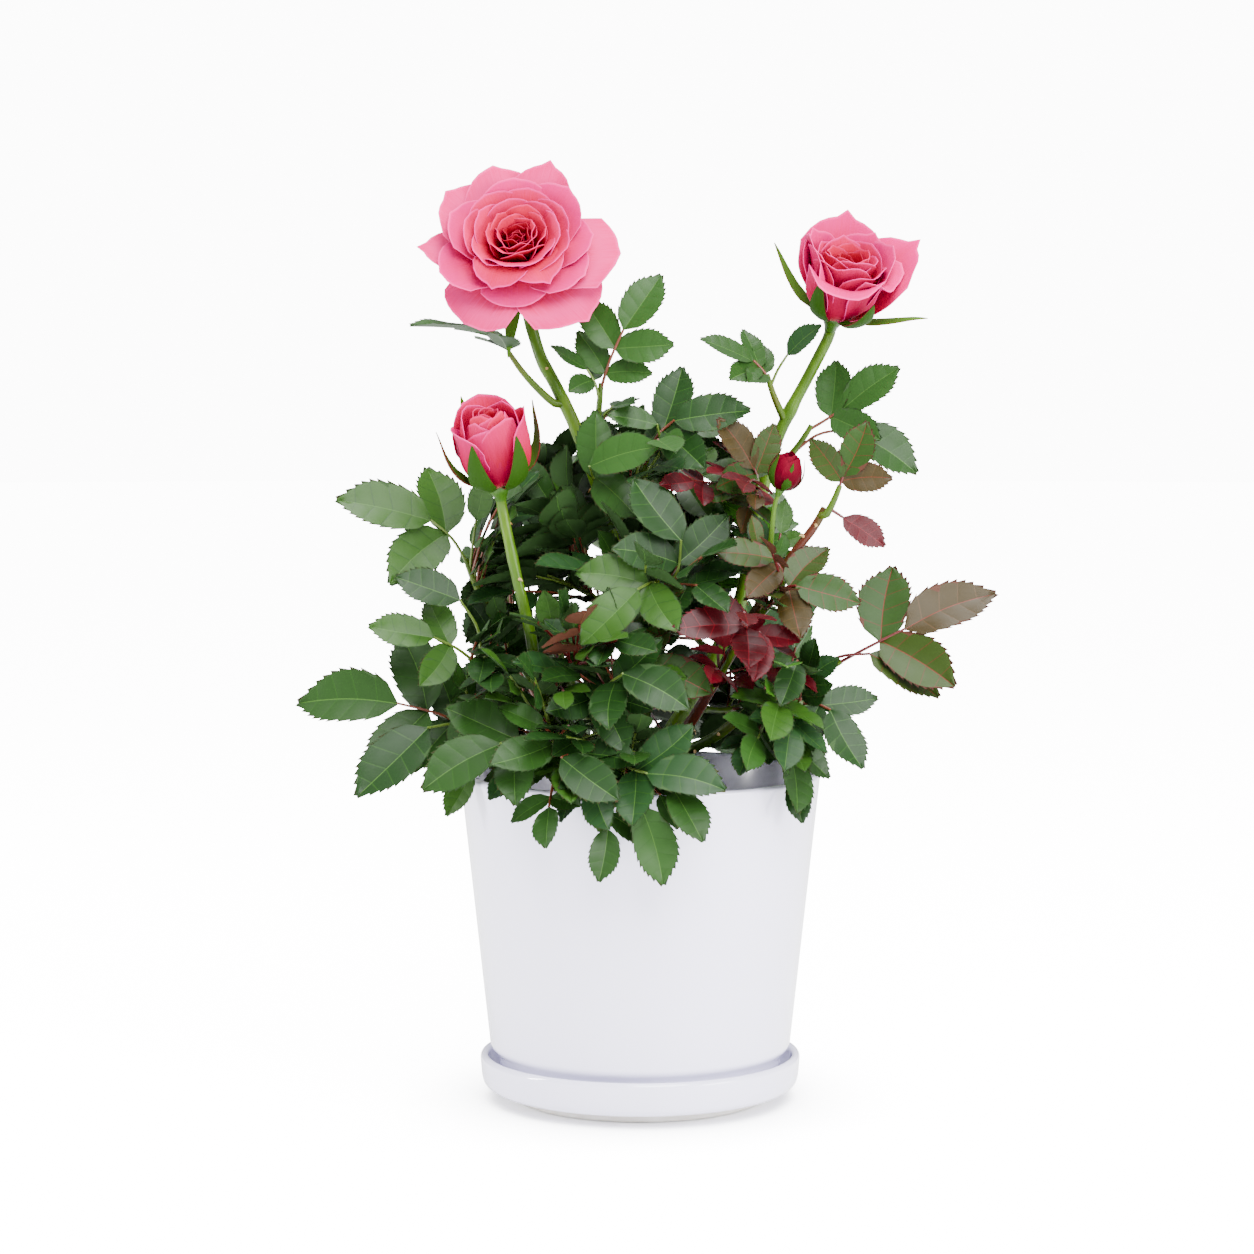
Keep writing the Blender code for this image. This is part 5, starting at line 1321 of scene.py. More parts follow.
# Petals of each bloom from the outside in: the azimuths of a ring in degrees (0 is to the right in the
# photograph, 90 to the top), length, width, degrees from the axis at even steps from root to rim, hug
# (0 flat, 1 wrapped), root radius, root height, drop of the corners and rise of the point, roll of the
# side edges, wave, and the finish.
PETALS = {
    "bloom_open": [
        ((-4,), 38, 37, (70, 72, 78, 84, 92), 0.02, 3.0, 5.2, (0.20, 0.03), 0.08, 0.03, "outer"),
        ((68,), 40, 31, (62, 60, 60, 60, 68), 0.04, 3.0, 5.2, (0.36, 0.12), 0.06, 0.02, "outer"),
        ((103,), 37, 31, (64, 60, 58, 60, 70), 0.04, 3.0, 5.4, (0.34, 0.06), 0.05, 0.03, "outer"),
        ((140,), 39, 32, (66, 62, 62, 64, 74), 0.03, 3.0, 5.2, (0.30, 0.05), 0.07, 0.03, "outer"),
        ((176,), 37, 28, (72, 72, 76, 80, 84), 0.03, 3.0, 5.0, (0.42, 0.12), 0.05, 0.02, "outer"),
        ((228,), 32, 35, (76, 84, 92, 104, 118), 0.02, 3.0, 5.0, (0.22, 0.02), 0.08, 0.03, "outer"),
        ((311,), 35, 36, (76, 84, 92, 102, 112), 0.02, 3.0, 5.0, (0.28, 0.06), 0.07, 0.03, "outer"),
        ((268,), 24, 27, (58, 64, 76, 98, 124), 0.10, 3.0, 5.8, (0.22, 0.00), 0.04, 0.03, "middle"),
        ((203,), 31, 29, (58, 60, 68, 80, 96), 0.08, 3.0, 5.8, (0.26, 0.04), 0.05, 0.02, "middle"),
        ((333,), 30, 28, (56, 60, 68, 80, 94), 0.08, 3.0, 5.8, (0.26, 0.03), 0.05, 0.02, "middle"),
        ((14,), 31, 27, (54, 56, 60, 66, 78), 0.10, 3.0, 6.0, (0.26, 0.03), 0.03, 0.02, "middle"),
        ((52,), 32, 28, (50, 50, 50, 52, 60), 0.12, 3.0, 6.0, (0.26, 0.03), 0.03, 0.02, "middle"),
        ((98,), 32, 30, (50, 48, 48, 50, 56), 0.12, 3.0, 6.0, (0.26, 0.03), 0.03, 0.02, "middle"),
        ((150,), 30, 28, (52, 52, 54, 58, 68), 0.12, 3.0, 6.0, (0.26, 0.03), 0.03, 0.02, "middle"),
        ((246,), 30, 24, (42, 40, 36, 32, 34, 52, 96, 128, 146),
         0.30, 2.8, 6.4, (0.26, 0.05), 0.04, 0.04, "bowl"),
        ((298,), 29, 24, (42, 40, 36, 32, 36, 50, 84, 112, 130),
         0.30, 2.8, 6.4, (0.26, 0.05), 0.04, 0.04, "bowl"),
        ((345, 28, 75, 122, 172), 27, 25, (42, 42, 42, 44, 50),
         0.25, 2.8, 6.4, (0.24, 0.03), 0.02, 0.02, "bowl"),
        ((215, 262, 318), 24, 23, (32, 32, 34, 42, 66),
         0.45, 2.6, 7.0, (0.22, 0.00), 0.02, 0.03, "bowl"),
        ((5, 52, 100, 150), 24.5, 22, (34, 34, 34, 35, 40),
         0.35, 2.6, 7.0, (0.24, 0.03), 0.01, 0.02, "bowl"),
        ((240, 290, 340, 30, 80, 130, 185), 21.5, 18, (24, 24, 24, 27, 36),
         0.50, 2.4, 7.6, (0.24, 0.03), 0.01, 0.03, "heart"),
        ((262, 320, 15, 65, 115, 200), 19, 14.5, (16, 16, 16, 18, 28),
         0.60, 2.1, 8.0, (0.24, 0.02), 0.0, 0.04, "heart"),
        ((235, 300, 355, 50, 105, 170), 17, 11, (8, 8, 8, 10, 20),
         0.70, 1.7, 8.2, (0.24, 0.02), 0.0, 0.05, "deep"),
        ((265, 340, 60, 150), 15, 8, (3, 2, 0, 0, 8), 0.80, 1.2, 8.4, (0.24, 0.02), 0.0, 0.06, "deep"),
        ((30, 160, 280), 13, 5.5, (0, 0, -2, -4, -4), 0.90, 0.7, 8.6, (0.24, 0.02), 0.0, 0.06, "deep"),
    ],
    "bloom_half_open": [
        ((4,), 37, 33, (64, 44, 32, 34, 52), 0.45, 2.8, 5.0, (0.34, 0.14), 0.09, 0.02, "middle"),
        ((70,), 38, 36, (60, 42, 30, 28, 34), 0.50, 2.8, 5.0, (0.30, 0.10), 0.04, 0.02, "middle"),
        ((160,), 36, 29, (56, 26, 14, 18, 40), 0.60, 2.8, 5.0, (0.28, 0.08), 0.12, 0.02, "middle"),
        ((238,), 30, 31, (78, 34, 10, 34, 150), 0.85, 2.8, 5.0, (0.20, 0.00), 0.04, 0.02, "middle"),
        ((312,), 31, 29, (72, 32, 14, 34, 135), 0.75, 2.8, 5.2, (0.20, 0.00), 0.04, 0.03, "middle"),
        ((350, 40, 118, 168), 31, 27, (56, 32, 18, 15, 24),
         0.75, 2.6, 5.8, (0.26, 0.05), 0.03, 0.02, "middle"),
        ((230, 292), 29, 25, (56, 26, 10, 14, 50), 0.85, 2.6, 5.8, (0.22, 0.00), 0.02, 0.03, "bowl"),
        ((20, 75, 135), 28, 23, (48, 24, 12, 8, 18), 0.80, 2.4, 6.4, (0.26, 0.04), 0.02, 0.02, "bowl"),
        ((200, 262, 325), 27.5, 21, (46, 20, 6, 6, 26),
         0.90, 2.4, 6.4, (0.24, 0.02), 0.01, 0.02, "bowl"),
        ((0, 60, 120, 180, 240, 300), 25, 17, (36, 16, 6, 4, 14),
         0.90, 2.2, 7.0, (0.25, 0.03), 0.01, 0.03, "heart"),
        ((30, 100, 170, 240, 310), 22.5, 13, (24, 8, 3, 2, 10),
         0.95, 1.9, 7.4, (0.25, 0.02), 0.0, 0.04, "deep"),
        ((60, 150, 240, 330), 20, 9, (12, 4, 0, 0, 6), 1.00, 1.4, 7.8, (0.25, 0.02), 0.0, 0.05, "deep"),
        ((10, 130, 250), 18, 6, (4, 0, -2, -4, -4), 1.00, 0.8, 8.0, (0.25, 0.02), 0.0, 0.05, "deep"),
    ],
    "bloom_bud": [
        ((118,), 35, 33, (76, 40, 8, -8, 8), 1.00, 2.8, 5.0, (0.28, 0.04), 0.05, 0.015, "bowl"),
        ((20,), 34, 33, (76, 40, 8, -6, 6), 1.00, 2.8, 5.0, (0.28, 0.06), 0.05, 0.015, "bowl"),
        ((212,), 29, 33, (76, 40, 10, -4, 24), 1.00, 2.8, 5.0, (0.22, 0.00), 0.06, 0.015, "middle"),
        ((292,), 30, 31, (76, 38, 6, -12, -14), 1.00, 2.7, 5.2, (0.30, 0.03), 0.05, 0.015, "middle"),
        ((75, 165), 33, 29, (72, 36, 4, -14, -14), 1.00, 2.6, 5.4, (0.25, 0.03), 0.02, 0.01, "bowl"),
        ((250, 330), 30.5, 27, (72, 34, 2, -16, -20), 1.00, 2.5, 5.4, (0.25, 0.03), 0.02, 0.01, "bowl"),
        ((30, 120, 210, 300), 31, 22, (60, 28, 2, -16, -24),
         1.00, 2.4, 5.8, (0.22, 0.02), 0.0, 0.02, "bowl"),
        ((75, 165, 255, 345), 29.5, 18, (48, 20, 0, -14, -20),
         1.00, 2.1, 6.2, (0.20, 0.02), 0.0, 0.02, "heart"),
        ((20, 140, 260), 28.5, 14, (34, 14, -2, -10, -16),
         1.00, 1.8, 6.6, (0.20, 0.02), 0.0, 0.03, "heart"),
        ((80, 200, 320), 27.5, 9, (18, 6, -2, -6, -8), 1.00, 1.3, 7.0, (0.20, 0.02), 0.0, 0.03, "deep"),
        ((20, 200), 26.5, 6, (6, 2, -2, -4, -4), 1.00, 0.7, 7.2, (0.20, 0.02), 0.0, 0.03, "deep"),
    ],
    "bud_closed": [
        ((30, 150, 270), 33, 32, (74, 38, 4, -20, -28),
         1.00, 2.8, 5.0, (0.25, 0.05), 0.0, 0.01, "tight"),
        ((90, 210, 330), 32, 25, (66, 30, 2, -22, -34),
         1.00, 2.6, 5.4, (0.25, 0.03), 0.0, 0.01, "tight"),
        ((30, 150, 270), 31, 16, (50, 22, 0, -18, -30),
         1.00, 2.2, 5.8, (0.25, 0.02), 0.0, 0.01, "tight"),
    ],
}
PETAL_SIZES = {"bloom_open": 0.89, "bloom_half_open": 0.95, "bloom_bud": 0.92, "bud_closed": 1.0}

# Sepals of each bloom: azimuth in degrees, length, width, degrees from the axis at even steps, hug, roll.
SEPALS = {
    "bloom_open": [
        (20, 22, 7, (92, 96, 98, 96, 90), 0.3, 0.05),
        (92, 22, 7, (96, 104, 108, 110, 116), 0.3, 0.05),
        (165, 22, 7, (96, 108, 116, 122, 130), 0.3, 0.05),
        (262, 31, 10, (100, 120, 128, 130, 134), 0.3, 0.05),
        (318, 22, 7, (98, 112, 122, 128, 136), 0.3, 0.05),
    ],
    "bloom_half_open": [
        (143, 33, 13, (80, 62, 42, 34, 36), 0.5, 0.03),
        (212, 27, 13, (88, 58, 24, 4, -6), 0.9, 0.03),
        (284, 24, 17, (92, 74, 44, 18, 4), 0.9, 0.02),
        (333, 31, 9, (92, 78, 68, 68, 84), 0.3, 0.05),
        (80, 26, 7, (84, 60, 46, 48, 60), 0.5, 0.05),
    ],
    "bloom_bud": [
        (205, 31, 15, (88, 56, 24, 8, 14), 1.0, 0.02),
        (140, 36, 12, (86, 52, 16, -2, 10), 1.0, 0.03),
        (40, 35, 12, (86, 52, 16, -4, 0), 1.0, 0.03),
        (322, 31, 15, (88, 58, 26, 0, -10), 1.0, 0.02),
        (266, 29, 16, (88, 58, 24, 0, -8), 1.0, 0.02),
    ],
    "bud_closed": [
        (10, 35, 16, (76, 42, 8, -18, -24), 1.0, 0.02),
        (82, 35, 16, (76, 42, 8, -18, -24), 1.0, 0.02),
        (154, 33, 15, (76, 42, 8, -16, -20), 1.0, 0.02),
        (226, 30, 13, (78, 44, 10, -14, -10), 1.0, 0.02),
        (298, 34, 14, (78, 44, 10, -16, -16), 1.0, 0.02),
    ],
}

# The hip's profile (radius, height), with its foot a little inside the neck
HIP = [
    (0.0, -0.6), (2.1, -0.6), (2.3, 0.6), (3.0, 2.0), (3.7, 3.6), (3.9, 4.8), (3.4, 6.2), (2.4, 7.2),
    (0.0, 7.6),
]
HIP_SIDES = 20

# How petals differ from the table, either way in degrees or as factors
PETAL_LEANS = 4.5
PETAL_TURNS = 7.0
PETAL_LENGTHS = (0.95, 1.04)
PETAL_WIDTHS = (0.97, 1.03)
PETAL_POINTS = (0.5, 1.4)
PETAL_CURLS = (0.5, 1.6)  # for the roll and for the wave

# Plates: rows and columns, width of the claw for the whole, thickness, and how a petal's one side stands
# behind the next one's
PETAL_GRID = (12, 10)
PETAL_CLAW = 0.30
PETAL_THICK = 0.42
PETAL_LAP = 0.5
SEPAL_GRID = (12, 6)
SEPAL_CLAW = 0.5
SEPAL_THICK = 0.5
SEPAL_ROOT = (2.8, 4.8)  # radius and height of it on the hip
SEPAL_WAVE = 0.01

# Petal skin, by its place in a bloom from the outside in, and its reverse: the rim, and the tones from
# claw to rim. It is satin, being finely furred. The outer petals are the palest and pinkest, partly their
# own colour and partly painted light that shines through them. Towards the heart the tones grow redder and
# darker, partly their own colour and partly painted shade where the petals shade each other.
PETAL_FINISHES = {
    "outer": (
        "#e23484",
        [(0.0, "#cd8a90"), (0.12, "#bc0034"), (0.45, "#c2004a"), (0.78, "#d02870"), (1.0, "#c81462")],
    ),
    "outer_reverse": ("#c03c78", [(0.0, "#c88a8e"), (0.2, "#bc2450"), (0.7, "#bc2a60"), (1.0, "#b42460")]),
    "middle": ("#e23484", [(0.0, "#ab6365"), (0.2, "#af002f"), (0.6, "#ba0049"), (1.0, "#c30066")]),
    "middle_reverse": (
        "#cb2678",
        [(0.0, "#955750"), (0.2, "#870024"), (0.6, "#930037"), (1.0, "#af0051")],
    ),
    "bowl": ("#d62980", [(0.0, "#9d0022"), (0.4, "#ad002b"), (0.75, "#b30036"), (1.0, "#bb004e")]),
    "bowl_reverse": ("#cd2470", [(0.0, "#880020"), (0.5, "#96002c"), (1.0, "#ad004a")]),
    "heart": ("#ca1f60", [(0.0, "#8a0019"), (0.5, "#a60022"), (1.0, "#b30039")]),
    "heart_reverse": ("#c71e5b", [(0.0, "#880019"), (0.6, "#9e0022"), (1.0, "#af003b")]),
    "deep": ("#9b0e34", [(0.0, "#3f0009"), (0.6, "#710011"), (1.0, "#89001c")]),
    "deep_reverse": ("#9b0e34", [(0.0, "#3f0009"), (0.6, "#710011"), (1.0, "#89001c")]),
    "tight": ("#590016", [(0.0, "#300007"), (0.6, "#4b0010"), (1.0, "#590016")]),
    "tight_reverse": ("#560016", [(0.0, "#300007"), (0.6, "#460010"), (1.0, "#560016")]),
}


def petal_materials():
    """The slots of every bloom piece: each petal finish, a petal's rim, sepals and hip."""
    mats = [petal_skin("rose_petal_" + key, stops, rim) for key, (rim, stops) in PETAL_FINISHES.items()]
    mats.append(shader_material("rose_petal_rim", "#bf2e6e", 0.5))
    # Sepals are matt and downy: green outside, paler inside, and red-edged. The hip is as young bark.
    sepal_skins = {"green": ("#1e3a06", 0.6), "inside": ("#3c5c18", 0.7), "margin": ("#4c0a10", 0.6)}
    for key, finish in sepal_skins.items():
        mats.append(shader_material("rose_sepal_" + key, *finish, Specular_IOR_Level=0.06))
    return [*mats, green_bark("rose_hip_green", ("#1d3a06", "#2d500a", "#426414"))]


# Slots of a petal's outside, inside and rim, and of a sepal's. The outer petals have the pink rim.
PETAL_SLOTS = {
    "outer": (1, 0, 12),
    "middle": (3, 2, 2),
    "bowl": (5, 4, 4),
    "heart": (7, 6, 6),
    "deep": (9, 8, 8),
    "tight": (11, 10, 11),
}
SEPAL_SLOTS = (13, 14, 15)
HIP_SLOT = 16


def build_bloom(name, mats):
    """The petals, sepals and hip of one bloom as one joined piece."""
    base, axis, *_, size = BLOOMS[name]
    rng = random.Random(name)
    heap = Heap()
    place = np.array(bloom_frame(base, axis, size))

    def put(verts, turn):
        c, s = cos(turn), sin(turn)
        turned_round = verts @ np.array([[c, s, 0], [-s, c, 0], [0, 0, 1]])
        return turned_round @ place[:3, :3].T + place[:3, 3]

    for azimuths, length, width, leans, hug, root, lift, tip, roll, wave, finish in PETALS[name]:
        for azimuth in azimuths:
            leaning = [a + rng.uniform(-PETAL_LEANS, PETAL_LEANS) for a in leans]
            scale = PETAL_SIZES[name] * rng.uniform(*PETAL_LENGTHS)
            verts, faces, sides, uv = petal_patch(
                *PETAL_GRID, length * scale, width * scale * rng.uniform(*PETAL_WIDTHS), leaning, hug,
                root, lift, PETAL_CLAW, (tip[0], tip[1] * rng.uniform(*PETAL_POINTS)),
                roll * rng.uniform(*PETAL_CURLS), wave * rng.uniform(*PETAL_CURLS),
                rng.uniform(0, tau), PETAL_THICK, PETAL_LAP,
            )
            slots = [PETAL_SLOTS[finish][side] for side in sides]
            turn = radians(azimuth + rng.uniform(-PETAL_TURNS, PETAL_TURNS))
            heap.add(put(verts, turn), faces, slots, uv)
    for azimuth, length, width, leans, hug, roll in SEPALS[name]:
        verts, faces, sides, uv = petal_patch(
            *SEPAL_GRID, length, width, leans, hug, *SEPAL_ROOT, SEPAL_CLAW, (0.0, 0.0), roll,
            SEPAL_WAVE, rng.uniform(0, tau), SEPAL_THICK, 0.0,
        )
        verts = narrowed(verts, *SEPAL_GRID)
        heap.add(put(verts, radians(azimuth)), faces, [SEPAL_SLOTS[side] for side in sides], uv)
    verts, faces = turned_solid(HIP, HIP_SIDES)
    flat = np.zeros((len(verts), 2))
    heap.add(put(np.array([tuple(v) for v in verts]), 0.0), faces, HIP_SLOT, flat)
    finish_piece(heap.piece(name + "_petals", mats, 60.0), [name])


def narrowed(verts, rows, columns):
    """A sepal's outline: widest near its root and drawn out to a fine tip."""
    verts = verts.copy()
    count = (rows + 1) * (columns + 1)
    for layer in (0, count):
        for r in range(rows + 1):
            u = r / rows
            wide = (sin(pi * min(1.0, (u + 0.12) / 0.75) * 0.5) if u < 0.3 else 1.0)
            wide *= max(0.03, (1.0 - u) ** 0.75 if u > 0.15 else 0.9)
            first = layer + r * (columns + 1)
            row = verts[first : first + columns + 1]
            middle = row[columns // 2].copy()
            verts[first : first + columns + 1] = middle + (row - middle) * wide
    return verts


# Growing


# Masses that grow twice the finer leaves: inside the plant and over the rim
FULLER = (
    "foliage_inner_left", "foliage_inner_middle", "foliage_inner_right", "foliage_right_low",
    "foliage_left_low", "foliage_front_left", "foliage_centre",
)


@cache
def plant():
    """Canes, the closed bud's stalk and masses by the same rule and seeds as the solids, and then the finer
    leaves. It is grown once for all the operators."""
    space = Space()
    for solid in (
        turned_solid(pot_profile(), TURNED_SIDES),
        turned_solid(soil_profile(), SOIL_SIDES),
        turned_solid(knuckle_profile(), KNUCKLE_SIDES),
    ):
        space.add("pot", solid)
    canes = {name: Cane(*row, BEARERS.get(name)) for name, row in CANES.items()}
    for name, cane in canes.items():
        space.add(name, cane.solid)
    path = bud_stalk(canes["cane_red_shoot"], space)
    space.add("bud_stalk", tube(path, tapered(path, *BUD_STALK_RADII), CANE_SIDES))
    for name, row in BLOOMS.items():
        for solid in bloom_room(row):
            space.add(name, solid)
    masses = [Mass(name, row, canes, space) for name, row in MASSES.items()]
    for mass in masses:
        for fork, tip, count, turn in mass.shown:
            mass.shown_leaf(Vector(fork), Vector(tip), count, turn)
    for mass in masses:
        mass.extra_leaves()
    finer = bpy.context.scene.patio_rose_leaves.finer_leaves
    for mass in masses:
        mass.finer_leaves(finer * (2 if mass.name in FULLER else 1))
    return canes, path, masses


# Settings


class PatioRosePot(PropertyGroup):
    glaze: StringProperty(name="Glaze", description="Colour of the glaze as #rrggbb", default="#e6e4fa")
    foot: StringProperty(name="Foot", description="Colour of the saucer's bare foot", default="#e9e5dd")
    sides: IntProperty(name="Sides", description="Steps round the pot", default=144, min=24)
    grains: IntProperty(name="Soil grains", description="Crumbs on the soil", default=900, min=0)


class PatioRoseLeaves(PropertyGroup):
    finer_leaves: IntProperty(
        name="Finer leaves", description="Small leaves added to each mass", default=8, min=0
    )
    stalk_radius: FloatProperty(
        name="Stalk radius", description="Radius of a leaf's stalk at its foot", default=0.00062,
        unit="LENGTH", subtype="DISTANCE",
    )


class PatioRoseCanes(PropertyGroup):
    sides: IntProperty(name="Sides", description="Sides of a cane's mesh", default=16, min=6)
    prickle: FloatProperty(
        name="Prickle", description="Length of a prickle", default=0.0022, unit="LENGTH", subtype="DISTANCE"
    )


class PatioRoseStudio(PropertyGroup):
    surround: FloatProperty(name="Surround", description="How bright the white paper shows", default=12.0)
    fill: FloatProperty(name="Fill", description="Light that comes from all round", default=0.9)
    key: FloatProperty(name="Key", description="Power of the front light", default=52.0, unit="POWER")


# Operators


class ROSE_OT_pot(Operator):
    """Turns the pot and glazes it"""

    bl_idname = "rose.pot"
    bl_label = "Pot"

    def execute(self, context):
        obj = spun("pot_glazed", fine_pot_profile(), context.scene.patio_rose_pot.sides)
        obj.data.materials.append(glazed_ceramic("pot_white_glaze", context.scene.patio_rose_pot.glaze))
        finish_piece(obj, ["pot"])
        return {"FINISHED"}


class ROSE_OT_saucer(Operator):
    """Turns the saucer, glazed down to its bare foot"""

    bl_idname = "rose.saucer"
    bl_label = "Saucer"

    def execute(self, context):
        settings = context.scene.patio_rose_pot
        obj = spun("saucer_glazed", fine_saucer_profile(), settings.sides)
        obj.data.materials.append(glazed_ceramic("saucer_white_glaze", settings.glaze))
        obj.data.materials.append(bisque("saucer_bare_foot", settings.foot))
        for face in obj.data.polygons:
            low = max(obj.data.vertices[k].co.z for k in face.vertices) / MM
            face.material_index = 1 if low < FOOT_HEIGHT + 0.3 else 0
        finish_piece(obj, ["saucer"])
        return {"FINISHED"}


def rounded(points, radius, steps=6):
    """An open profile whose corners are rounded, each by the radius or what its neighbours allow."""
    out = [points[0]]
    for before, corner, after in zip(points, points[1:], points[2:]):
        a, b, c = (np.array(p, float) for p in (before, corner, after))
        reach = min(radius, 0.45 * np.linalg.norm(a - b), 0.45 * np.linalg.norm(c - b))
        start = b + (a - b) / np.linalg.norm(a - b) * reach
        end = b + (c - b) / np.linalg.norm(c - b) * reach
        for k in range(steps + 1):
            t = k / steps
            out.append(tuple((1 - t) ** 2 * start + 2 * t * (1 - t) * b + t * t * end))
    out.append(points[-1])
    return out


def fine_pot_profile():
    """The solid's profile, whose wall turns in a little more under the shoulder, as a thrown foot does."""
    points = pot_profile()
    points[4] = (points[4][0] - 1.8, points[4][1] + 2.2)
    return rounded(points, 1.6, 4)


def fine_saucer_profile():
    return rounded(saucer_profile(), 1.2, 4)


def spun(name, profile, sides):
    """A profile spun round the axis with the Screw modifier, as on a wheel."""
    mesh = bpy.data.meshes.new(name)
    places = [(r * MM, 0.0, z * MM) for r, z in profile]
    mesh.from_pydata(places, [(k, k + 1) for k in range(len(places) - 1)], [])
    obj = bpy.data.objects.new(name, mesh)
    bpy.context.scene.collection.objects.link(obj)
    bpy.context.view_layer.objects.active = obj
    obj.select_set(True)
    screw = obj.modifiers.new("Wheel", "SCREW")
    screw.steps = screw.render_steps = sides
    screw.use_merge_vertices = True
    screw.merge_threshold = 0.00001
    screw.use_smooth_shade = True
    bpy.ops.object.modifier_apply(modifier=screw.name)
    bpy.ops.object.mode_set(mode="EDIT")
    bpy.ops.mesh.select_all(action="SELECT")
    bpy.ops.mesh.normals_make_consistent(inside=False)
    bpy.ops.object.mode_set(mode="OBJECT")
    obj.data.set_sharp_from_angle(angle=radians(45))
    obj.select_set(False)
    return obj


SOIL_PLAY = 0.1
SOIL_RINGS = 22
SOIL_STEPS = 72  # round it
SOIL_ROUGH = (-0.9, 0.5)
SOIL_BELOW = 90.0  # height of its closed underside
SOIL_BELOW_RIM = 0.97
GRAIN_MARGIN = 2.0  # kept from the wall
GRAIN_SIZES = (0.5, 1.7)
GRAIN_SINK = 0.5
GRAIN_HEIGHT = 0.8  # for its width


class ROSE_OT_soil(Operator):
    """Fills the pot with crumbly potting mix"""

    bl_idname = "rose.soil"
    bl_label = "Soil"

    def execute(self, context):
        rng = random.Random(5)
        mats = [
            potting_mix("potting_mix_dark", "#1d140e", "#33261b"),
            potting_mix("potting_mix_bark", "#2c1e14", "#4a3524"),
        ]
        heap = Heap()
        rim = pot_radius(SOIL_TOP) - POT_WALL - SOIL_PLAY
        sides = SOIL_STEPS
        turns = [tau * k / sides for k in range(sides)]
        verts = [(0.0, 0.0, SOIL_TOP)]
        for r in range(1, SOIL_RINGS + 1):
            radius = rim * r / SOIL_RINGS
            low = SOIL_CROWN * (radius / rim) ** 3
            for a in turns:
                height = SOIL_TOP - low + rng.uniform(*SOIL_ROUGH)
                verts.append((radius * cos(a), radius * sin(a), height))
        below = rim * SOIL_BELOW_RIM
        verts += [(below * cos(a), below * sin(a), SOIL_BELOW) for a in turns]
        verts.append((0.0, 0.0, SOIL_BELOW))
        faces = [(0, 1 + k, 1 + (k + 1) % sides) for k in range(sides)]
        for r in range(SOIL_RINGS):
            low = 1 + r * sides
            for k in range(sides):
                n = (k + 1) % sides
                faces.append((low + k, low + sides + k, low + sides + n, low + n))
        last = len(verts) - 1
        base = 1 + SOIL_RINGS * sides
        faces += [(last, base + (k + 1) % sides, base + k) for k in range(sides)]
        heap.add(verts, faces, 0)
        for _ in range(context.scene.patio_rose_pot.grains):
            radius = (rim - GRAIN_MARGIN) * sqrt(rng.random())
            a = rng.uniform(0, tau)
            size = rng.uniform(*GRAIN_SIZES)
            height = SOIL_TOP - GRAIN_SINK + 0.2 * size
            centre = Vector((radius * cos(a), radius * sin(a), height))
            heap.add(*crumb(centre, size, rng), rng.choice((0, 0, 1)))
        finish_piece(heap.piece("soil_crumbs", mats, 40.0), ["soil"])
        return {"FINISHED"}


def crumb(centre, size, rng):
    """A lump of eight faces."""
    high = GRAIN_HEIGHT
    ends = [(1, 0, 0), (-1, 0, 0), (0, 1, 0), (0, -1, 0), (0, 0, high), (0, 0, -high)]
    verts = [centre + Vector(e) * (size * rng.uniform(0.7, 1.2)) for e in ends]
    faces = [(0, 2, 4), (2, 1, 4), (1, 3, 4), (3, 0, 4), (2, 0, 5), (1, 2, 5), (3, 1, 5), (0, 3, 5)]
    return verts, faces


class ROSE_OT_foot(Operator):
    """Makes the old woody foot that the canes rise from"""

    bl_idname = "rose.foot"
    bl_label = "Woody foot"

    def execute(self, context):
        rng = random.Random(8)
        verts, faces = turned_solid(rounded(knuckle_profile(), 4.0, 4), 40)
        # Waves round it: how many, where they start, and how high they are for its radius
        waves = [(rng.uniform(2, 6), rng.uniform(0, 6.28), rng.uniform(0.02, 0.07)) for _ in range(6)]
        shaped = []
        for v in verts:
            a = atan2(v.y, v.x)
            bump = 1.0 + sum(s * sin(round(f) * a + p + 0.3 * v.z) for f, p, s in waves)
            shaped.append((v.x * bump, v.y * bump, v.z + 0.5 * sin(5 * a) * (bump - 1.0)))
        heap = Heap()
        heap.add(shaped, faces, 0)
        finish_piece(heap.piece("woody_foot", [old_bark("old_rose_bark")], 60.0), ["stem"])
        return {"FINISHED"}


BRIGHT_CANES = (*BEARERS, "bud_stalk")
BARK_STEP = 2.2
BARK_SLIM = 0.93  # of the solid's radius, which the knots and flutes come back to
KNOT_EVERY = 9  # rings
KNOTS = (0.04, 0.10)  # rise of a knot for the radius
KNOT_WIDTH = 1.2  # rings
FLUTE = 0.02  # for the radius


class ROSE_OT_canes(Operator):
    """Gives every cane its round, slightly knotted bark"""

    bl_idname = "rose.canes"
    bl_label = "Canes"

    def execute(self, context):
        sides = context.scene.patio_rose_canes.sides
        bright = green_bark("young_green_bark", ("#274202", "#3d5c06", "#526c12"))
        dull = green_bark("older_green_bark", ("#1c3204", "#2c440a", "#444210"))
        red = green_bark("red_flushed_bark", ("#3e1006", "#481e0a", "#3b370a"))
        canes, stalk, _ = plant()
        limbs = {name: (canes[name].path, row[2]) for name, row in CANES.items()}
        limbs["bud_stalk"] = (stalk, BUD_STALK_RADII)
        for name, (path, radii) in limbs.items():
            rng = random.Random(name)
            fine = smooth_path(path, BARK_STEP)
            count = len(fine) // KNOT_EVERY
            knots = [(rng.randrange(len(fine)), rng.uniform(*KNOTS)) for _ in range(count)]

            def swell(ring, side):
                bulge = sum(s * exp(-(((ring - k) / KNOT_WIDTH) ** 2)) for k, s in knots)
                return 1.0 + bulge + FLUTE * sin(2 * tau * side / sides + 0.2 * ring)

            heap = Heap()
            slim = [BARK_SLIM * radius for radius in tapered(fine, *radii)]
            heap.add(*round_limb(fine, slim, sides, swell), 0)
            mat = red if name == "cane_red_shoot" else bright if name in BRIGHT_CANES else dull
            finish_piece(heap.piece(name + "_bark", [mat], 60.0), [name])
        return {"FINISHED"}


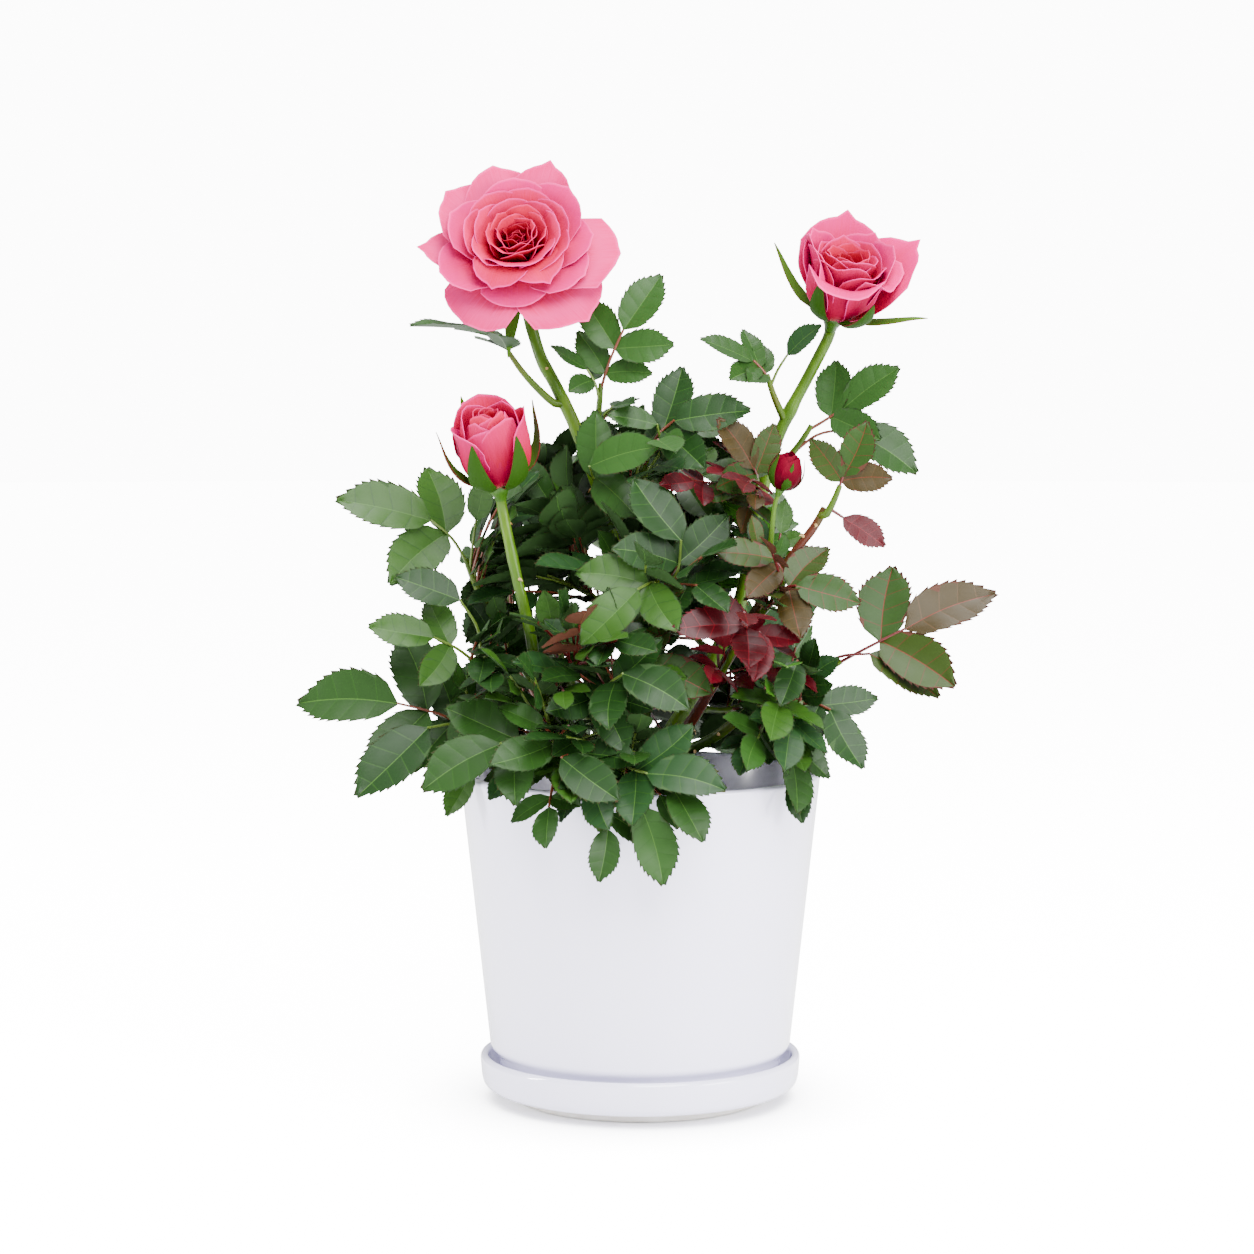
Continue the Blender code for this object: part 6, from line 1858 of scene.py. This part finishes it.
PRICKLES_A_CANE = 7
PRICKLE_SHARES = (0.2, 0.95)  # of the cane, where they stand
PRICKLE_SIZES = (0.5, 1.1)
PRICKLE_ROOT = 0.8  # of the cane's radius
PRICKLE_HOOK = 0.35  # drop of the tip for its length
PRICKLE_RADII = (0.75, 0.38, 0.06)


class ROSE_OT_prickles(Operator):
    """Sets small hooked prickles on the canes"""

    bl_idname = "rose.prickles"
    bl_label = "Prickles"

    def execute(self, context):
        length = context.scene.patio_rose_canes.prickle / MM
        canes, *_ = plant()
        heap = Heap()
        rng = random.Random(21)
        for name, (_, _, (first, last)) in CANES.items():
            path = smooth_path(canes[name].path, 2.0)
            for _ in range(PRICKLES_A_CANE):
                share = rng.uniform(*PRICKLE_SHARES)
                place, head = along(path, share)
                radius = first + (last - first) * share
                side = Matrix.Rotation(rng.uniform(0, tau), 3, head) @ side_of(head)
                size = length * rng.uniform(*PRICKLE_SIZES)
                root = place + side * radius * PRICKLE_ROOT
                middle = root + side * size * 0.6
                hook = root + side * size - head * size * PRICKLE_HOOK
                heap.add(*tube([root, middle, hook], PRICKLE_RADII, 6), 0)
        # Horn-like and pale brown, with a soft sheen
        mat = shader_material("rose_prickle", "#9a7d4c", 0.45)
        obj = heap.piece("prickles", [mat], 40.0)
        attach(obj, "root")
        return {"FINISHED"}


TWIG_TAPER = 0.8
STALK_TAPER = 0.72


class ROSE_OT_twigs(Operator):
    """Grows the twigs and the stalks of the leaves"""

    bl_idname = "rose.twigs"
    bl_label = "Twigs and stalks"

    def execute(self, context):
        foot = context.scene.patio_rose_leaves.stalk_radius / MM
        # Twigs as young bark, and smooth leaf stalks with a soft sheen, the redder the younger the leaf
        mats = [
            green_bark("twig_green", ("#294206", "#3c540c", "#4c4812")),
            shader_material("leaf_stalk_green", "#4c621d", 0.45),
            shader_material("leaf_stalk_russet", "#592713", 0.45),
            shader_material("leaf_stalk_red", "#4d0c0c", 0.42),
        ]
        rng = random.Random(31)
        heap = Heap()
        *_, masses = plant()
        for mass in masses:
            stem = smooth_path([mass.inside, *mass.stem], 3.0)
            heap.add(*tube(stem, tapered(stem, SHOOT_RADIUS, SHOOT_TIP * TWIG_TAPER), 8), 0)
            red = FAMILY_OF_MASS.get(mass.name, ("green",))[0] in ("red", "bronze")
            for stalk, _ in mass.leaves:
                slot = 3 if red else rng.choice((1, 2, 2))
                path = smooth_path(stalk, 2.5)
                heap.add(*tube(path, tapered(path, foot, foot * STALK_TAPER), 6), slot)
        finish_piece(heap.piece("twigs_and_leaf_stalks", mats, 60.0), list(MASSES))
        return {"FINISHED"}


FRONT_MASSES = 19  # the first of the table, which stand in front


class ROSE_OT_leaves(Operator):
    """Lays every leaflet, toothed, veined and folded along its rib"""

    bl_idname = "rose.leaves"
    bl_label = "Leaves"

    def execute(self, context):
        mats, places = leaf_materials()
        maker = LeafMaker(places)
        *_, masses = plant()
        names = list(MASSES)
        groups = {"leaves_front": names[:FRONT_MASSES], "leaves_back": names[FRONT_MASSES:]}
        for piece_name, members in groups.items():
            heap = Heap()
            for mass in masses:
                if mass.name not in members:
                    continue
                rng = random.Random(mass.name)
                families = FAMILY_OF_MASS.get(mass.name, ("green",))
                for _, blades in mass.leaves:
                    family = rng.choice(families)
                    tone = rng.randrange(12)
                    for root, tip, normal, _ in blades:
                        tone += family == "bronze"
                        maker.lay(heap, root, tip, normal, family, tone, rng)
            finish_piece(heap.piece(piece_name, mats, 45.0), members)
        return {"FINISHED"}


class ROSE_OT_blooms(Operator):
    """Makes the open and the half-open bloom, the opening bud and the small closed one"""

    bl_idname = "rose.blooms"
    bl_label = "Blooms"

    def execute(self, context):
        mats = petal_materials()
        for name in BLOOMS:
            build_bloom(name, mats)
        return {"FINISHED"}


CAMERA_PLACE = Vector((-4.76, -1200.0, 268.13))
CAMERA_PITCH = 4.65  # degrees down
LENS = 96.13
FLOOR_RADIUS = 6.0  # metres, as all below
FLOOR_HEIGHT = -0.0002
PAINTED_SHADOW_REACH = 0.045  # how far round the saucer's foot its painted shadow reaches
LIGHT_AIM = Vector((0.0, 0.0, 0.17))
# Each light: its place, its size, and its share of the key's power
LIGHTS = {
    "front_softbox": ((0.3, -1.0, 1.2), (0.9, 0.9), 1.0),
    "left_strip": ((-1.1, -0.15, 0.3), (0.10, 1.0), 0.45),
    "right_softbox": ((1.1, -0.7, 0.45), (0.6, 0.6), 0.5),
    "top_softbox": ((0.1, 0.1, 1.5), (0.8, 0.8), 0.8),
}


def glowing_paper_with_painted_shadow(name, brightness):
    """White paper that glows evenly for the camera, with a painted shadow from ambient occlusion that dims
    the glow round the foot of the saucer.
    """
    mat = shader_material(name, "#ffffff", 1.0, Emission_Color=WHITE, Specular_IOR_Level=0.0)
    # Painted shadow: ambient occlusion dims the paper's glow round the saucer's foot
    painted_shadow = add_node(mat, "ShaderNodeAmbientOcclusion", [], [("Distance", PAINTED_SHADOW_REACH)], samples=8)
    swing = [("From Min", 0.25), ("From Max", 0.95), ("To Min", 0.3), ("To Max", brightness)]
    glow = add_node(mat, "ShaderNodeMapRange", [("Value", painted_shadow, "AO")], swing)
    path = add_node(mat, "ShaderNodeLightPath")
    factors = [(0, glow, "Result"), (1, path, "Is Camera Ray")]
    shown = add_node(mat, "ShaderNodeMath", factors, operation="MULTIPLY")
    into_shader(mat, "Emission Strength", shown, "Value")
    return mat


def white_surround(brightness, fill):
    """A white world that shows brighter than it lights."""
    world = bpy.data.worlds.new("white_surround")
    world.use_nodes = True
    lights = world.node_tree.nodes["Background"]
    lights.inputs["Color"].default_value = WHITE
    lights.inputs["Strength"].default_value = fill
    shown = add_node(world, "ShaderNodeBackground", [], [("Color", WHITE), ("Strength", brightness)])
    path = add_node(world, "ShaderNodeLightPath")
    inputs = [("Fac", path, "Is Camera Ray"), (1, lights, "Background"), (2, shown, "Background")]
    either = add_node(world, "ShaderNodeMixShader", inputs)
    surface = world.node_tree.nodes["World Output"].inputs["Surface"]
    world.node_tree.links.new(either.outputs["Shader"], surface)
    return world


class ROSE_OT_stage(Operator):
    """Sets the camera, the white floor and the soft studio light"""

    bl_idname = "rose.stage"
    bl_label = "Stage"

    def execute(self, context):
        settings = context.scene.patio_rose_studio
        bpy.ops.mesh.primitive_circle_add(
            vertices=96, radius=FLOOR_RADIUS, fill_type="NGON", location=(0, 0, FLOOR_HEIGHT)
        )
        floor = context.active_object
        floor.name = "studio_floor"
        floor.data.materials.append(glowing_paper_with_painted_shadow("studio_white_paper", settings.surround))

        data = bpy.data.cameras.new("photo_camera")
        data.lens = LENS
        data.sensor_width = 36.0
        data.clip_end = 20.0
        camera = bpy.data.objects.new("photo_camera", data)
        context.scene.collection.objects.link(camera)
        camera.location = CAMERA_PLACE * MM
        camera.rotation_euler = (radians(90.0 - CAMERA_PITCH), 0.0, 0.0)
        context.scene.camera = camera

        context.scene.world = white_surround(settings.surround, settings.fill)

        for name, (place, size, share) in LIGHTS.items():
            light = bpy.data.lights.new(name, "AREA")
            light.shape = "RECTANGLE"
            light.size, light.size_y = size
            light.energy = settings.key * share
            obj = bpy.data.objects.new(name, light)
            context.scene.collection.objects.link(obj)
            obj.location = place
            aim = LIGHT_AIM - Vector(place)
            obj.rotation_euler = aim.to_track_quat("-Z", "Y").to_euler()
        return {"FINISHED"}


class ROSE_PT_panel(Panel):
    bl_idname = "ROSE_PT_panel"
    bl_label = "Patio rose"
    bl_space_type = "VIEW_3D"
    bl_region_type = "UI"
    bl_category = "Patio rose"

    def draw(self, context):
        for name in GROUPS:
            group = getattr(context.scene, name)
            box = self.layout.box()
            box.label(text=name.removeprefix("patio_rose_").title())
            for key in group.bl_rna.properties.keys():
                if key not in ("rna_type", "name"):
                    box.prop(group, key)
        for operator in OPERATORS:
            self.layout.operator(operator.bl_idname)


OPERATORS = (
    ROSE_OT_pot,
    ROSE_OT_saucer,
    ROSE_OT_soil,
    ROSE_OT_foot,
    ROSE_OT_canes,
    ROSE_OT_prickles,
    ROSE_OT_twigs,
    ROSE_OT_leaves,
    ROSE_OT_blooms,
    ROSE_OT_stage,
)
GROUPS = {
    "patio_rose_pot": PatioRosePot,
    "patio_rose_leaves": PatioRoseLeaves,
    "patio_rose_canes": PatioRoseCanes,
    "patio_rose_studio": PatioRoseStudio,
}


def register():
    for name, group in GROUPS.items():
        bpy.utils.register_class(group)
        setattr(bpy.types.Scene, name, PointerProperty(type=group))
    for cls in (*OPERATORS, ROSE_PT_panel):
        bpy.utils.register_class(cls)


def unregister():
    for cls in (ROSE_PT_panel, *reversed(OPERATORS)):
        bpy.utils.unregister_class(cls)
    for name, group in reversed(GROUPS.items()):
        delattr(bpy.types.Scene, name)
        bpy.utils.unregister_class(group)


def main():
    register()
    bpy.ops.rose.pot()
    bpy.ops.rose.saucer()
    bpy.ops.rose.soil()
    bpy.ops.rose.foot()
    bpy.ops.rose.canes()
    bpy.ops.rose.prickles()
    bpy.ops.rose.twigs()
    bpy.ops.rose.leaves()
    bpy.ops.rose.blooms()
    bpy.ops.rose.stage()
    bpy.context.view_layer.update()


if __name__ == "__main__":
    main()
